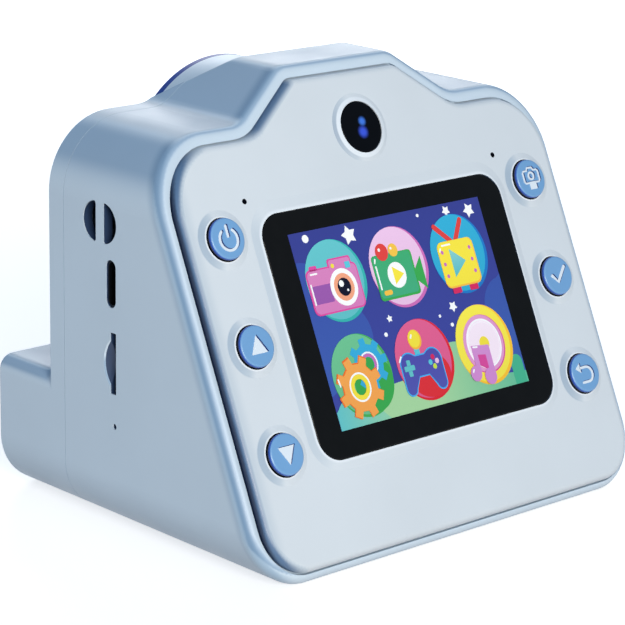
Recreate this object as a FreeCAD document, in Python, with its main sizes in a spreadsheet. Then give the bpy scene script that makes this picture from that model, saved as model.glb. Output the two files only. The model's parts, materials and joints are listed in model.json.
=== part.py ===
import FreeCAD, Part
import math
import os

import Sketcher
from FreeCAD import Placement, Rotation, Vector

# A child's instant-print camera. +Z is up, +Y is the way the main lens looks, and +X is to the
# right of somebody who reads the screen. The origin is under the middle of the camera, on the
# surface that it stands on. Lengths are in millimetres and angles in degrees.

SIZES = {
    # outline of the case, seen along Y
    "half_width": 49.8,
    "shoulder_z": 75.65,
    "hump_z": 84.45,
    "hump_x": 14.1,
    "hump_slope": 34.6,
    "top_round": 13.8,
    "bottom_round": 11.0,
    "valley_round": 7.0,
    "hump_round": 5.5,
    "wall": 2.15,
    # slanted rear face
    "screen_y": -22.16,
    "screen_z": 40.15,
    "slant": 24.68,
    "rim_drop": 1.5,
    "rim_round": 2.2,
    "panel_inset": 2.45,
    "panel_thick": 2.4,
    "panel_round": 1.4,
    "ledge_wide": 2.5,
    "ledge_thick": 1.6,
    # front shell
    "seam_y": 18.25,
    "front_y": 22.9,
    "front_edge": 0.4,
    "step_y": 39.4,
    "step_z": 26.85,
    "step_round": 3.0,
    "step_edge": 1.0,
    "step_valley": 3.2,
    "facet_low": 76.25,
    "facet_back": 11.9,
    "facet_round": 1.0,
    # main lens
    "lens_z": 57.95,
    "barrel_rad": 22.4,
    "barrel_y": 32.4,
    "ring_y": 34.8,
    "window_rad": 17.0,
    # screen
    "glass_wide": 61.2,
    "glass_tall": 45.8,
    "glass_round": 4.7,
    "glass_thick": 1.8,
    "glass_u": 0.2,
    "glass_v": -0.34,
    "glass_rise": 0.3,
    "frame_wide": 65.1,
    "frame_tall": 50.5,
    "frame_round": 7.0,
    "lcd_wide": 60.3,
    "lcd_tall": 42.7,
    "lcd_thick": 2.6,
    # buttons
    "button_u": 39.0,
    "button_v": 19.7,
    "cap_rad": 3.85,
    "cap_rise": 1.5,
    "cap_edge": 0.5,
    "collar_rad": 5.5,
    "collar_rise": 0.45,
    "travel": 0.8,
    # rear camera and small holes
    "selfie_v": 35.5,
    "selfie_rad": 4.9,
    "selfie_rise": 0.5,
    "selfie_foot": 6.6,
    "pinhole_u": 31.9,
    "pinhole_v": 25.8,
    # things on the left side
    "board_y": 3.0,
    "lug_y": 7.7,
    "lug_z": 58.85,
    "lug_rad": 3.8,
    "lug_bar": 2.1,
    "usb_y": 4.45,
    "usb_z": 48.0,
    "card_y": 3.85,
    "card_z": 33.15,
    "reset_y": 3.45,
    "reset_z": 21.25,
    # paper door and roll
    "door_half": 31.0,
    "door_top": 24.85,
    "door_gap": 0.3,
    "hinge_y": 37.26,
    "hinge_z": 4.15,
    "hinge_rad": 2.1,
    "roll_y": 22.5,
    "roll_z": 14.25,
    "roll_rad": 10.0,
    "roll_half": 28.5,
    # printer
    "platen_y": 15.0,
    "platen_z": 28.75,
    "platen_rad": 4.0,
    "gear_module": 0.5,
}

doc = FreeCAD.newDocument("instant_camera")
sheet = doc.addObject("Spreadsheet::Sheet", "Dims")
for row, (alias, value) in enumerate(SIZES.items(), start=1):
    sheet.set(f"A{row}", alias)
    sheet.set(f"B{row}", str(value))
    sheet.setAlias(f"B{row}", alias)
doc.recompute()


class Size:
    """A number worked out from the sheet, with the expression that keeps a property bound to it."""

    def __init__(self, value, text):
        self.value = value
        self.text = text

    def __add__(self, other):
        return join(self, other, "+")

    def __radd__(self, other):
        return join(other, self, "+")

    def __sub__(self, other):
        return join(self, other, "-")

    def __rsub__(self, other):
        return join(other, self, "-")

    def __mul__(self, other):
        return join(self, other, "*")

    def __rmul__(self, other):
        return join(other, self, "*")

    def __neg__(self):
        return join(0.0, self, "-")


def as_size(item):
    if isinstance(item, Size):
        return item
    return Size(float(item), f"{float(item):.9f}")


def join(left, right, sign):
    left = as_size(left)
    right = as_size(right)
    if sign == "+":
        value = left.value + right.value
    elif sign == "-":
        value = left.value - right.value
    else:
        value = left.value * right.value
    return Size(value, f"({left.text} {sign} {right.text})")


def dim(alias):
    return Size(float(sheet.get(alias)), f"Dims.{alias}")


SLANT = math.radians(dim("slant").value)
LEAN = math.sin(SLANT)
FACE = math.cos(SLANT)
HALF_SLOPE = math.tan(math.radians(dim("hump_slope").value) / 2)
FAR = 120.0
BACK_Y = -48.0

# screws: shank and head, and where the case screws stand
SCREW_RAD = 1.0
HEAD_RAD = 1.9
HEAD_HIGH = 1.3
UPPER_SCREW_X = 42.2
UPPER_SCREW_Z = 68.25
LOWER_SCREW_X = 37.0
LOWER_SCREW_Y = 13.0
# gaps: a gap that a part turns in, and a shadow line between two shells
RUNNING = 0.05
SEAM_WIDE = 0.12
SEAM_DEEP = 0.8
# openings in the left side: width, height and corner radius, then the scoop's ball
USB_HOLE = (2.9, 8.9, 1.44)
CARD_HOLE = (1.75, 11.6, 0.2)
RESET_HOLE_RAD = 0.55
LUG_CORNER = 0.5
SIDE_DEEP = 3.2
SCOOP_BALL = 8.7
SCOOP_BACK = 3.6
SCOOP_OUT = 6.0
# the shells' joint: how far the tongue reaches, and the posts and tabs that take the screws
FIT = 0.1
TONGUE_LONG = 2.5
TONGUE_IN = 1.2
POST_RAD = 3.4
POST_END_RAD = 2.6
TAB_RAD = 3.2
TAB_TOP = 6.0
HEAD_SINK = 1.8
FLOOR_SINK = 1.5
EAR_WIDE = 3.0
NAIL_RAD = 8.0
# holes in the panel and the posts behind it
LCD_WINDOW = (53.0, 40.0, 1.5)
SELFIE_HOLE = 3.6
WINDOW_THICK = 1.5
PINHOLE_RAD = 0.5
BOARD_POST_RAD = 1.7
BRACKET_POST_RAD = 1.8
PILOT_RAD = 0.7
CLEAR_RAD = 0.9
GRILLE_RAD = 0.8
GRILLE_RING = 4.0
# inside the case
PAPER_EXIT_Z = 32.85
PAPER_SLOT = (59.0, 1.8, 0.8)
LENS_HOLE_RAD = 15.0
SPEAKER_Y = -6.0
SPEAKER_Z = 30.55
BOARD_TOP = 8.0
BOARD_THICK = 1.2
BRACKET_TOP = 5.0
BRACKET_THICK = 1.2
FLEX_START = (-26.5, 16.75)

# ---------------------------------------------------------------- sketches and features


def rear_base(u, v, n):
    """The point u to the right and v up the slanted face from the screen's centre, n out from it."""
    y = dim("screen_y") + as_size(v) * LEAN - as_size(n) * FACE
    z = dim("screen_z") + as_size(v) * FACE + as_size(n) * LEAN
    return as_size(u), y, z


def new_body(label):
    body = doc.addObject("PartDesign::Body", label)
    body.Label = label
    return body


def own_plane(body, role):
    for feature in body.Origin.OriginFeatures:
        if feature.Role == role:
            return feature
    raise ValueError(role)


def new_sketch(body, plane, height=0.0, u=0.0, v=0.0):
    """A sketch on the body's own origin plane.

    XY, XZ and YZ are offset by height along +Z, +Y and +X. "rear" is parallel to the slanted face
    and "turn" holds the slanted face's normal, so that what is drawn on it can be turned about
    the normal through (u, v). "lens" lies along Y with its own x axis on the main lens's axis.
    """
    sketch = body.newObject("Sketcher::SketchObject", "Sketch")
    angle = 0.0
    role = plane + "_Plane"
    base = (0.0, 0.0, height)
    if plane == "XZ":
        base = (0.0, 0.0, -as_size(height))
    elif plane == "rear":
        role = "XY_Plane"
        base = rear_base(u, v, height)
        angle = 90.0 - dim("slant").value
    elif plane == "turn":
        role = "XY_Plane"
        base = rear_base(u, v, height)
        angle = 180.0 - dim("slant").value
    elif plane == "lens":
        role = "YZ_Plane"
        base = (0.0, dim("lens_z"), 0.0)
    sketch.AttachmentSupport = (own_plane(body, role), "")
    sketch.MapMode = "FlatFace"
    places = [as_size(item) for item in base]
    spot = Vector(*[item.value for item in places])
    sketch.AttachmentOffset = Placement(spot, Rotation(Vector(1, 0, 0), angle))
    for letter, item in zip("xyz", places):
        if "Dims" in item.text:
            sketch.setExpression("AttachmentOffset.Base." + letter, item.text)
    return sketch


def hold(sketch, constraint, size):
    """Add a constraint and bind its value."""
    index = sketch.addConstraint(constraint)
    if "Dims" in size.text:
        sketch.setExpression(f"Constraints[{index}]", size.text)


def pin_point(sketch, geometry, place, x, y):
    x = as_size(x)
    y = as_size(y)
    hold(sketch, Sketcher.Constraint("DistanceX", -1, 1, geometry, place, x.value), x)
    hold(sketch, Sketcher.Constraint("DistanceY", -1, 1, geometry, place, y.value), y)


def circle(sketch, x, y, radius):
    radius = as_size(radius)
    centre = Vector(as_size(x).value, as_size(y).value, 0)
    index = sketch.addGeometry(Part.Circle(centre, Vector(0, 0, 1), radius.value))
    hold(sketch, Sketcher.Constraint("Radius", index, radius.value), radius)
    pin_point(sketch, index, 3, x, y)


def polygon(sketch, points):
    """Straight lines between points, each point held from the sketch's origin."""
    spots = [Vector(as_size(x).value, as_size(y).value, 0) for x, y in points]
    first = None
    count = len(spots)
    for index in range(count):
        line = sketch.addGeometry(Part.LineSegment(spots[index], spots[(index + 1) % count]))
        if first is None:
            first = line
    for index in range(count):
        following = first + (index + 1) % count
        sketch.addConstraint(Sketcher.Constraint("Coincident", first + index, 2, following, 1))
        pin_point(sketch, first + index, 1, *points[index])


def box_points(x0, x1, y0, y1):
    return [(x0, y0), (x1, y0), (x1, y1), (x0, y1)]


def arc_loop(sketch, arcs):
    """A closed loop of arcs joined by tangent lines, drawn counter-clockwise.

    Each arc is (x, y, radius, turn): turn is 1 at an outside corner and -1 at an inside one.
    """
    spots = [(as_size(x).value, as_size(y).value, as_size(r).value * turn) for x, y, r, turn in arcs]
    count = len(arcs)
    leave = []
    enter = [None] * count
    for index in range(count):
        x0, y0, r0 = spots[index]
        x1, y1, r1 = spots[(index + 1) % count]
        reach = math.hypot(x1 - x0, y1 - y0)
        heading = math.atan2(y1 - y0, x1 - x0) - math.asin((r1 - r0) / reach)
        left = Vector(-math.sin(heading), math.cos(heading), 0)
        leave.append(Vector(x0, y0, 0) - left * r0)
        enter[(index + 1) % count] = Vector(x1, y1, 0) - left * r1
    rings = []
    lines = []
    for index, (x, y, radius, turn) in enumerate(arcs):
        centre = Vector(spots[index][0], spots[index][1], 0)
        ring = Part.Circle(centre, Vector(0, 0, 1), as_size(radius).value)
        ends = [enter[index], leave[index]]
        if turn < 0:
            ends.reverse()
        first, last = [math.atan2(end.y - centre.y, end.x - centre.x) for end in ends]
        if last <= first:
            last += 2 * math.pi
        rings.append(sketch.addGeometry(Part.ArcOfCircle(ring, first, last)))
        line = Part.LineSegment(leave[index], enter[(index + 1) % count])
        lines.append(sketch.addGeometry(line))
    for index, (x, y, radius, turn) in enumerate(arcs):
        out_end = 2 if turn > 0 else 1
        in_end = 3 - out_end
        before = lines[index - 1]
        sketch.addConstraint(Sketcher.Constraint("Tangent", before, 2, rings[index], in_end))
        sketch.addConstraint(Sketcher.Constraint("Tangent", lines[index], 1, rings[index], out_end))
        radius = as_size(radius)
        hold(sketch, Sketcher.Constraint("Radius", rings[index], radius.value), radius)
        pin_point(sketch, rings[index], 3, x, y)


def rounded_box(sketch, wide, tall, radius, x=0.0, y=0.0):
    across = 0.5 * as_size(wide) - radius
    up = 0.5 * as_size(tall) - radius
    corners = [(1, -1), (1, 1), (-1, 1), (-1, -1)]
    arc_loop(sketch, [(x + sx * across, y + sy * up, radius, 1) for sx, sy in corners])


def outline(sketch, inset=0.0):
    """The case seen along Y, shrunk by inset: every arc keeps its centre as it shrinks."""
    low = dim("bottom_round")
    top = dim("top_round")
    valley = dim("valley_round")
    hump = dim("hump_round")
    rise = dim("hump_z") - dim("shoulder_z")
    foot_x = dim("hump_x") + rise * (1 / math.tan(math.radians(dim("hump_slope").value)))
    right = [
        (dim("half_width") - low, low, low - inset, 1),
        (dim("half_width") - top, dim("shoulder_z") - top, top - inset, 1),
        (foot_x + valley * HALF_SLOPE, dim("shoulder_z") + valley, valley + inset, -1),
        (dim("hump_x") - hump * HALF_SLOPE, dim("hump_z") - hump, hump - inset, 1),
    ]
    left = [(-x, y, radius, turn) for x, y, radius, turn in reversed(right)]
    arc_loop(sketch, right + left)


def step_outline(sketch, inset=0.0):
    """The lower front box seen along Y, shrunk by inset."""
    low = dim("bottom_round")
    top = dim("step_round")
    right = [
        (dim("half_width") - low, low, low - inset, 1),
        (dim("half_width") - top, dim("step_z") - top, top - inset, 1),
    ]
    left = [(-x, y, radius, turn) for x, y, radius, turn in reversed(right)]
    arc_loop(sketch, right + left)


def settle(body, feature):
    doc.recompute()
    if "Invalid" in feature.State or "Error" in feature.State or feature.Shape.isNull():
        raise RuntimeError(f"{body.Label}: {feature.Label} failed")


def extrude(body, kind, plane, draw, low, high, u=0.0, v=0.0):
    """Pad or Pocket what draw(sketch) draws, from height low to height high of the plane."""
    low = as_size(low)
    high = as_size(high)
    starts_high = (kind == "Pocket") != (plane == "XZ")
    sketch = new_sketch(body, plane, high if starts_high else low, u, v)
    draw(sketch)
    doc.recompute()
    before = body.Tip.Shape.Volume if kind == "Pocket" else 0.0
    feature = body.newObject("PartDesign::" + kind, kind)
    feature.Profile = sketch
    feature.Length = (high - low).value
    if "Dims" in (high - low).text:
        feature.setExpression("Length", (high - low).text)
    settle(body, feature)
    if kind == "Pocket" and feature.Shape.Volume >= before:
        raise RuntimeError(f"{body.Label}: a pocket cut nothing")
    return feature


def revolve(body, kind, plane, draw, axis, u=0.0, v=0.0):
    """Revolution or Groove of what draw(sketch) draws, about the sketch's own axis."""
    sketch = new_sketch(body, plane, 0.0, u, v)
    draw(sketch)
    doc.recompute()
    before = body.Tip.Shape.Volume if kind == "Groove" else 0.0
    feature = body.newObject("PartDesign::" + kind, kind)
    feature.Profile = sketch
    feature.ReferenceAxis = (sketch, [axis])
    feature.Angle = 360.0
    settle(body, feature)
    if kind == "Groove" and feature.Shape.Volume >= before:
        raise RuntimeError(f"{body.Label}: a groove cut nothing")
    return feature


def fillet(body, radius, pick):
    """Round the edges of the body that pick(edge) chooses."""
    base = body.Tip
    names = [f"Edge{i}" for i, edge in enumerate(base.Shape.Edges, start=1) if pick(edge)]
    if not names:
        raise RuntimeError(f"{body.Label}: no edge to round")
    radius = as_size(radius)
    feature = body.newObject("PartDesign::Fillet", "Fillet")
    feature.Base = (base, names)
    feature.Radius = radius.value
    if "Dims" in radius.text:
        feature.setExpression("Radius", radius.text)
    settle(body, feature)
    return feature


def combined(kind, label, first, others):
    """A Part::Cut of first by one tool, or a Part::MultiFuse of them all."""
    result = doc.addObject(kind, label)
    result.Label = label
    if kind == "Part::Cut":
        result.Base = first
        result.Tool = others
    else:
        result.Shapes = [first] + list(others)
    doc.recompute()
    return result


nodes = []


def keep(item):
    """List a finished sub-part; its Label is the name of its node."""
    nodes.append(item)
    return item


def rear_height(point):
    """How far a point stands out from the slanted face."""
    y = point.y - dim("screen_y").value
    z = point.z - dim("screen_z").value
    return z * LEAN - y * FACE


def lies(edge, test, slack=0.02):
    """True where both ends and the middle of an edge pass test(point) within slack."""
    middle = edge.valueAt((edge.FirstParameter + edge.LastParameter) / 2)
    spots = [vertex.Point for vertex in edge.Vertexes] + [middle]
    return all(abs(test(spot)) < slack for spot in spots)


def cylinder(label, plane, x, y, radius, low, high, u=0.0, v=0.0):
    body = new_body(label)
    extrude(body, "Pad", plane, lambda sketch: circle(sketch, x, y, radius), low, high, u, v)
    return body


def block(label, plane, points, low, high):
    body = new_body(label)
    extrude(body, "Pad", plane, lambda sketch: polygon(sketch, points), low, high)
    return body

# ---------------------------------------------------------------- the case


def facet_cut(body, inset=0.0):
    """Slope the front of the hump, as deep as inset below the outer slope."""
    low_y = dim("front_y")
    rise = dim("hump_z").value - dim("facet_low").value
    run = dim("front_y").value - dim("facet_back").value
    sink = as_size(inset) * (math.hypot(rise, run) / run)
    foot = (low_y + 0.6 * run, dim("facet_low") - 0.6 * rise - sink)
    head = (dim("facet_back") - 0.6 * run, dim("hump_z") + 0.6 * rise - sink)
    points = [foot, (foot[0], head[1] + 2), (head[0], head[1] + 2), head]
    half = dim("hump_x") + 14
    extrude(body, "Pocket", "YZ", lambda sketch: polygon(sketch, points), -half, half)


def slab_cut(body, low, high):
    """Take away everything between two depths of the slanted face."""
    everything = box_points(-FAR, FAR, -FAR, FAR)
    extrude(body, "Pocket", "rear", lambda sketch: polygon(sketch, everything), low, high)


def on_facet_top(point):
    return math.hypot(point.y - dim("facet_back").value, point.z - dim("hump_z").value)


def segment(sketch, chord_y, z, radius, depth, turn):
    """A disc's segment with an upright chord, bulging by depth towards +Y (turn 1) or -Y (-1)."""
    middle = as_size(chord_y) + turn * (as_size(depth) - radius)
    y = middle.value
    level = as_size(z).value
    rad = as_size(radius).value
    half = math.acos((rad - as_size(depth).value) / rad)
    facing = 0.0 if turn > 0 else math.pi
    ring = Part.Circle(Vector(y, level, 0), Vector(0, 0, 1), rad)
    bow = sketch.addGeometry(Part.ArcOfCircle(ring, facing - half, facing + half))
    chord = as_size(chord_y).value
    reach = rad * math.sin(half) * turn
    start = Vector(chord, level - reach, 0)
    end = Vector(chord, level + reach, 0)
    line = sketch.addGeometry(Part.LineSegment(start, end))
    sketch.addConstraint(Sketcher.Constraint("Coincident", bow, 1, line, 1))
    sketch.addConstraint(Sketcher.Constraint("Coincident", bow, 2, line, 2))
    hold(sketch, Sketcher.Constraint("Radius", bow, rad), as_size(radius))
    pin_point(sketch, bow, 3, middle, z)
    chord_y = as_size(chord_y)
    hold(sketch, Sketcher.Constraint("DistanceX", -1, 1, line, 1, chord_y.value), chord_y)
    sketch.addConstraint(Sketcher.Constraint("Vertical", line))


def side_slots(body):
    """Strap bar, charging port, card slot and reset hole, all in the left side."""
    outside = -dim("half_width") - 1
    inside = -dim("half_width") + SIDE_DEEP
    rad = dim("lug_rad")
    for turn in (-1, 1):
        flat = dim("lug_y") + turn * 0.5 * dim("lug_bar")
        disc = lambda sketch: segment(sketch, flat, dim("lug_z"), rad, rad, turn)
        extrude(body, "Pocket", "YZ", disc, outside, inside)

    def at_chord(point):
        across = abs(point.y - dim("lug_y").value) - 0.5 * dim("lug_bar").value
        return math.hypot(across, abs(point.z - dim("lug_z").value) - rad.value)

    fillet(body, LUG_CORNER, lambda edge: lies(edge, at_chord))
    port = lambda sketch: rounded_box(sketch, *USB_HOLE, dim("usb_y"), dim("usb_z"))
    extrude(body, "Pocket", "YZ", port, outside, inside)
    card = lambda sketch: rounded_box(sketch, *CARD_HOLE, dim("card_y"), dim("card_z"))
    extrude(body, "Pocket", "YZ", card, outside, inside)
    pinhole = lambda sketch: circle(sketch, dim("reset_y"), dim("reset_z"), RESET_HOLE_RAD)
    extrude(body, "Pocket", "YZ", pinhole, outside, inside)


def thumb_scoop():
    """The half of a ball that hollows the side beside the card slot."""
    scoop = new_body("thumb_scoop")
    ball = scoop.newObject("PartDesign::AdditiveSphere", "Ball")
    ball.Radius = SCOOP_BALL
    ball.AttachmentSupport = (own_plane(scoop, "YZ_Plane"), "")
    ball.MapMode = "FlatFace"
    y = dim("card_y")
    z = dim("card_z")
    spot = [y - SCOOP_BACK, z, -dim("half_width") - SCOOP_OUT]
    ball.AttachmentOffset = Placement(Vector(*[item.value for item in spot]), Rotation())
    for letter, item in zip("xyz", spot):
        ball.setExpression("AttachmentOffset.Base." + letter, item.text)
    settle(scoop, ball)
    behind = box_points(y - 20, y, z - 20, z + 20)
    extrude(scoop, "Pocket", "YZ", lambda sketch: polygon(sketch, behind), -FAR, 0.0)
    return scoop


def seam_line():
    """The shadow line around the front shell where it meets the main housing."""
    low = dim("seam_y") - 1
    high = dim("seam_y") + SEAM_WIDE
    outer = new_body("seam_outside")
    extrude(outer, "Pad", "XZ", lambda sketch: outline(sketch, -1.0), low, high)
    inner = new_body("seam_inside")
    extrude(inner, "Pad", "XZ", lambda sketch: outline(sketch, SEAM_DEEP), low - 1, high + 1)
    facet_cut(inner, SEAM_DEEP)
    return combined("Part::Cut", "seam_line", outer, inner)


def lip_ring(sketch):
    """The inner tongue that carries the front shell into the main housing."""
    outline(sketch, dim("wall") + FIT)
    outline(sketch, dim("wall") + TONGUE_IN)


def screw_posts(label, low, high, radius):
    """Two posts behind the front shell's upper corners, for the case screws."""
    posts = new_body(label)
    posts.AllowCompound = True

    def rings(sketch):
        for turn in (-1, 1):
            circle(sketch, turn * UPPER_SCREW_X, UPPER_SCREW_Z, radius)

    extrude(posts, "Pad", "XZ", rings, low, high)
    return posts


def lower_tabs(label, low, high, radius):
    """Discs about the two screws that come up through the floor."""
    tabs = new_body(label)
    tabs.AllowCompound = True

    def rings(sketch):
        for turn in (-1, 1):
            circle(sketch, turn * LOWER_SCREW_X, LOWER_SCREW_Y, radius)

    extrude(tabs, "Pad", "XY", rings, low, high)
    return tabs


def make_front_shell():
    wall = dim("wall")
    shell = new_body("front_outside")
    extrude(shell, "Pad", "XZ", lambda sketch: outline(sketch), dim("seam_y"), dim("front_y"))
    facet_cut(shell)
    front = lambda edge: lies(edge, lambda point: point.y - dim("front_y").value)
    fillet(shell, dim("front_edge"), front)
    extrude(shell, "Pad", "XZ", lambda sketch: step_outline(sketch), dim("seam_y"), dim("step_y"))
    step_front = lambda edge: lies(edge, lambda point: point.y - dim("step_y").value)
    fillet(shell, dim("step_edge"), step_front)

    def inside_corner(edge):
        flat = lies(edge, lambda point: point.y - dim("front_y").value)
        middle = edge.valueAt((edge.FirstParameter + edge.LastParameter) / 2)
        return flat and 0.8 * dim("step_z").value < middle.z < dim("step_z").value + 0.1

    fillet(shell, dim("step_valley"), inside_corner)

    hollow = new_body("front_inside")
    inner = lambda sketch: outline(sketch, wall)
    extrude(hollow, "Pad", "XZ", inner, dim("seam_y") - 1, dim("front_y") - wall)
    facet_cut(hollow, wall)
    inner_step = lambda sketch: step_outline(sketch, wall)
    extrude(hollow, "Pad", "XZ", inner_step, dim("seam_y") - 1, dim("step_y") - wall)
    shell = combined("Part::Cut", "front_walls", shell, hollow)

    ears = new_body("hinge_ears")
    ears.AllowCompound = True
    y0 = dim("hinge_y") - 3.2
    y1 = dim("step_y") - 0.5 * wall
    ear = lambda sketch: polygon(sketch, box_points(y0, y1, 0.5 * wall, dim("hinge_z") + 3.2))
    start = dim("door_half") + dim("door_gap")
    extrude(ears, "Pad", "YZ", ear, start, start + EAR_WIDE)
    extrude(ears, "Pad", "YZ", ear, -start - EAR_WIDE, -start)

    tongue = new_body("front_tongue")
    extrude(tongue, "Pad", "XZ", lip_ring, dim("seam_y") - TONGUE_LONG, dim("front_y") - wall + FIT)
    facet_cut(tongue, wall + FIT)
    inside_face = dim("front_y") - 0.5
    rear_posts = screw_posts("front_posts", dim("seam_y"), inside_face, POST_RAD)
    post_ends = screw_posts("front_post_ends", dim("seam_y") - TONGUE_LONG, inside_face, POST_END_RAD)
    tabs = lower_tabs("front_tabs", wall + FIT, TAB_TOP, TAB_RAD)
    tab_arms = new_body("front_tab_arms")
    tab_arms.AllowCompound = True
    for turn in (-1, 1):
        middle = turn * LOWER_SCREW_X
        arm = box_points(middle - TAB_RAD, middle + TAB_RAD, LOWER_SCREW_Y, dim("seam_y") + 3)
        extrude(tab_arms, "Pad", "XY", lambda sketch: polygon(sketch, arm), wall + FIT, TAB_TOP)
    foot = new_body("front_tab_feet")
    foot.AllowCompound = True
    for turn in (-1, 1):
        middle = turn * LOWER_SCREW_X
        pad = box_points(middle - TAB_RAD, middle + TAB_RAD, dim("seam_y") + 0.3, dim("seam_y") + 3)
        extrude(foot, "Pad", "XY", lambda sketch: polygon(sketch, pad), 0.5 * wall, TAB_TOP)
    pieces = [ears, tongue, rear_posts, post_ends, tabs, tab_arms, foot]
    joined = combined("Part::MultiFuse", "front_joined", shell, pieces)

    cuts = new_body("front_cuts")
    cuts.AllowCompound = True
    half = dim("door_half") + dim("door_gap")
    low = dim("hinge_z")
    top = dim("door_top") + dim("door_gap")

    def doorway(sketch):
        middle_z = 0.5 * (low + top)
        rounded_box(sketch, 2 * half, top - low, 2.3, 0.0, middle_z)

    extrude(cuts, "Pad", "XZ", doorway, dim("step_y") - wall - 1, dim("step_y") + 2)
    swing = lambda sketch: circle(sketch, dim("hinge_y"), low, dim("hinge_rad") + dim("door_gap"))
    extrude(cuts, "Pad", "YZ", swing, -half, half)
    clear = box_points(-half, half, wall, 8.0)
    extrude(cuts, "Pad", "XZ", lambda sketch: polygon(sketch, clear), 14.0, dim("front_y") - wall + 0.3)
    pins = lambda sketch: circle(sketch, dim("hinge_y"), low, SCREW_RAD)
    extrude(cuts, "Pad", "YZ", pins, -half - 3.5, half + 3.5)
    nail = lambda sketch: circle(sketch, 0.0, top + NAIL_RAD - 1.8, NAIL_RAD)
    extrude(cuts, "Pad", "XZ", nail, dim("step_y") - 1.0, dim("step_y") + 1)

    under_door = box_points(dim("hinge_y"), dim("step_y") + 2, low - dim("hinge_rad") - 0.45, low + 4)
    sill = block("door_sill", "YZ", under_door, -half, half)
    lens_hole = cylinder("lens_hole", "XZ", 0.0, dim("lens_z"), LENS_HOLE_RAD, 15, 25)
    slot = new_body("paper_slot")
    shape = lambda sketch: rounded_box(sketch, *PAPER_SLOT, 0.0, PAPER_EXIT_Z)
    extrude(slot, "Pad", "XZ", shape, 15, 25)
    screws = screw_posts("front_screw_holes", 5, 25, SCREW_RAD)
    heads = screw_posts("front_screw_heads", dim("front_y") - HEAD_SINK, 25, HEAD_RAD + 0.2)
    floor_screws = lower_tabs("floor_screw_holes", -1, 7, SCREW_RAD)
    tools = combined("Part::MultiFuse", "front_tools", cuts,
                     [sill, lens_hole, slot, screws, heads, floor_screws, seam_line()])
    keep(combined("Part::Cut", "front_shell", joined, tools))


def make_main_housing():
    wall = dim("wall")
    shell = new_body("housing_outside")
    extrude(shell, "Pad", "XZ", lambda sketch: outline(sketch), BACK_Y, dim("seam_y"))
    slab_cut(shell, -dim("rim_drop"), FAR)
    facet_cut(shell)
    rim = lambda edge: lies(edge, lambda point: rear_height(point) + dim("rim_drop").value)
    fillet(shell, dim("rim_round"), rim)
    fillet(shell, dim("facet_round"), lambda edge: lies(edge, on_facet_top))
    side_slots(shell)

    hollow = new_body("housing_inside")
    extrude(hollow, "Pad", "XZ", lambda sketch: outline(sketch, wall), BACK_Y, dim("seam_y") + 1)
    facet_cut(hollow, wall)
    tube = combined("Part::Cut", "housing_tube", shell, hollow)

    ledge = new_body("panel_ledge")

    def ledge_ring(sketch):
        outline(sketch, wall - 0.1)
        outline(sketch, wall + dim("ledge_wide"))

    extrude(ledge, "Pad", "XZ", ledge_ring, BACK_Y, 10)
    slab_cut(ledge, -dim("panel_thick"), FAR)
    slab_cut(ledge, -FAR, -dim("panel_thick") - dim("ledge_thick"))
    posts = screw_posts("housing_posts", 4, dim("seam_y") - TONGUE_LONG - FIT, POST_RAD)
    joined = combined("Part::MultiFuse", "housing_joined", tube, [ledge, posts])

    tools = screw_posts("housing_pilots", 8, 25, SCREW_RAD)
    floor_holes = lower_tabs("housing_floor_holes", -1, wall + 1, SCREW_RAD)
    floor_heads = lower_tabs("housing_floor_heads", -1, FLOOR_SINK, HEAD_RAD + 0.2)
    grille = new_body("speaker_grille")
    grille.AllowCompound = True

    def holes(sketch):
        circle(sketch, SPEAKER_Y, SPEAKER_Z, GRILLE_RAD)
        for index in range(6):
            angle = index * math.pi / 3
            across = GRILLE_RING * math.cos(angle)
            up = GRILLE_RING * math.sin(angle)
            circle(sketch, SPEAKER_Y + across, SPEAKER_Z + up, GRILLE_RAD)

    extrude(grille, "Pad", "YZ", holes, 40, 55)
    others = [floor_holes, floor_heads, grille, thumb_scoop()]
    tools = combined("Part::MultiFuse", "housing_tools", tools, others)
    keep(combined("Part::Cut", "main_housing", joined, tools))


def raised_rim(body, draw_low, draw_top, rise, u=0.0, v=0.0):
    """Stand a solid on the slanted face that narrows from the face up to its top."""
    low = new_sketch(body, "rear", 0.0, u, v)
    draw_low(low)
    top = new_sketch(body, "rear", rise, u, v)
    draw_top(top)
    doc.recompute()
    feature = body.newObject("PartDesign::AdditiveLoft", "Rim")
    feature.Profile = low
    feature.Sections = [top]
    feature.Ruled = True
    settle(body, feature)


BUTTONS = {
    "power_button": (-1, 1),
    "up_button": (-1, 0),
    "down_button": (-1, -1),
    "shutter_button": (1, 1),
    "ok_button": (1, 0),
    "back_button": (1, -1),
}
HOLE_GAP = 0.2
MOUTH_GAP = 0.3
FLANGE_RAD = 5.2
BOARD_POSTS = [(34.5, 9.85), (34.5, -9.85)]
BRACKET_POSTS = [(27.0, 25.6), (-27.0, 25.6), (27.0, -25.6), (-27.0, -25.6)]


def button_place(name):
    side, level = BUTTONS[name]
    return side * dim("button_u"), level * dim("button_v")


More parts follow.
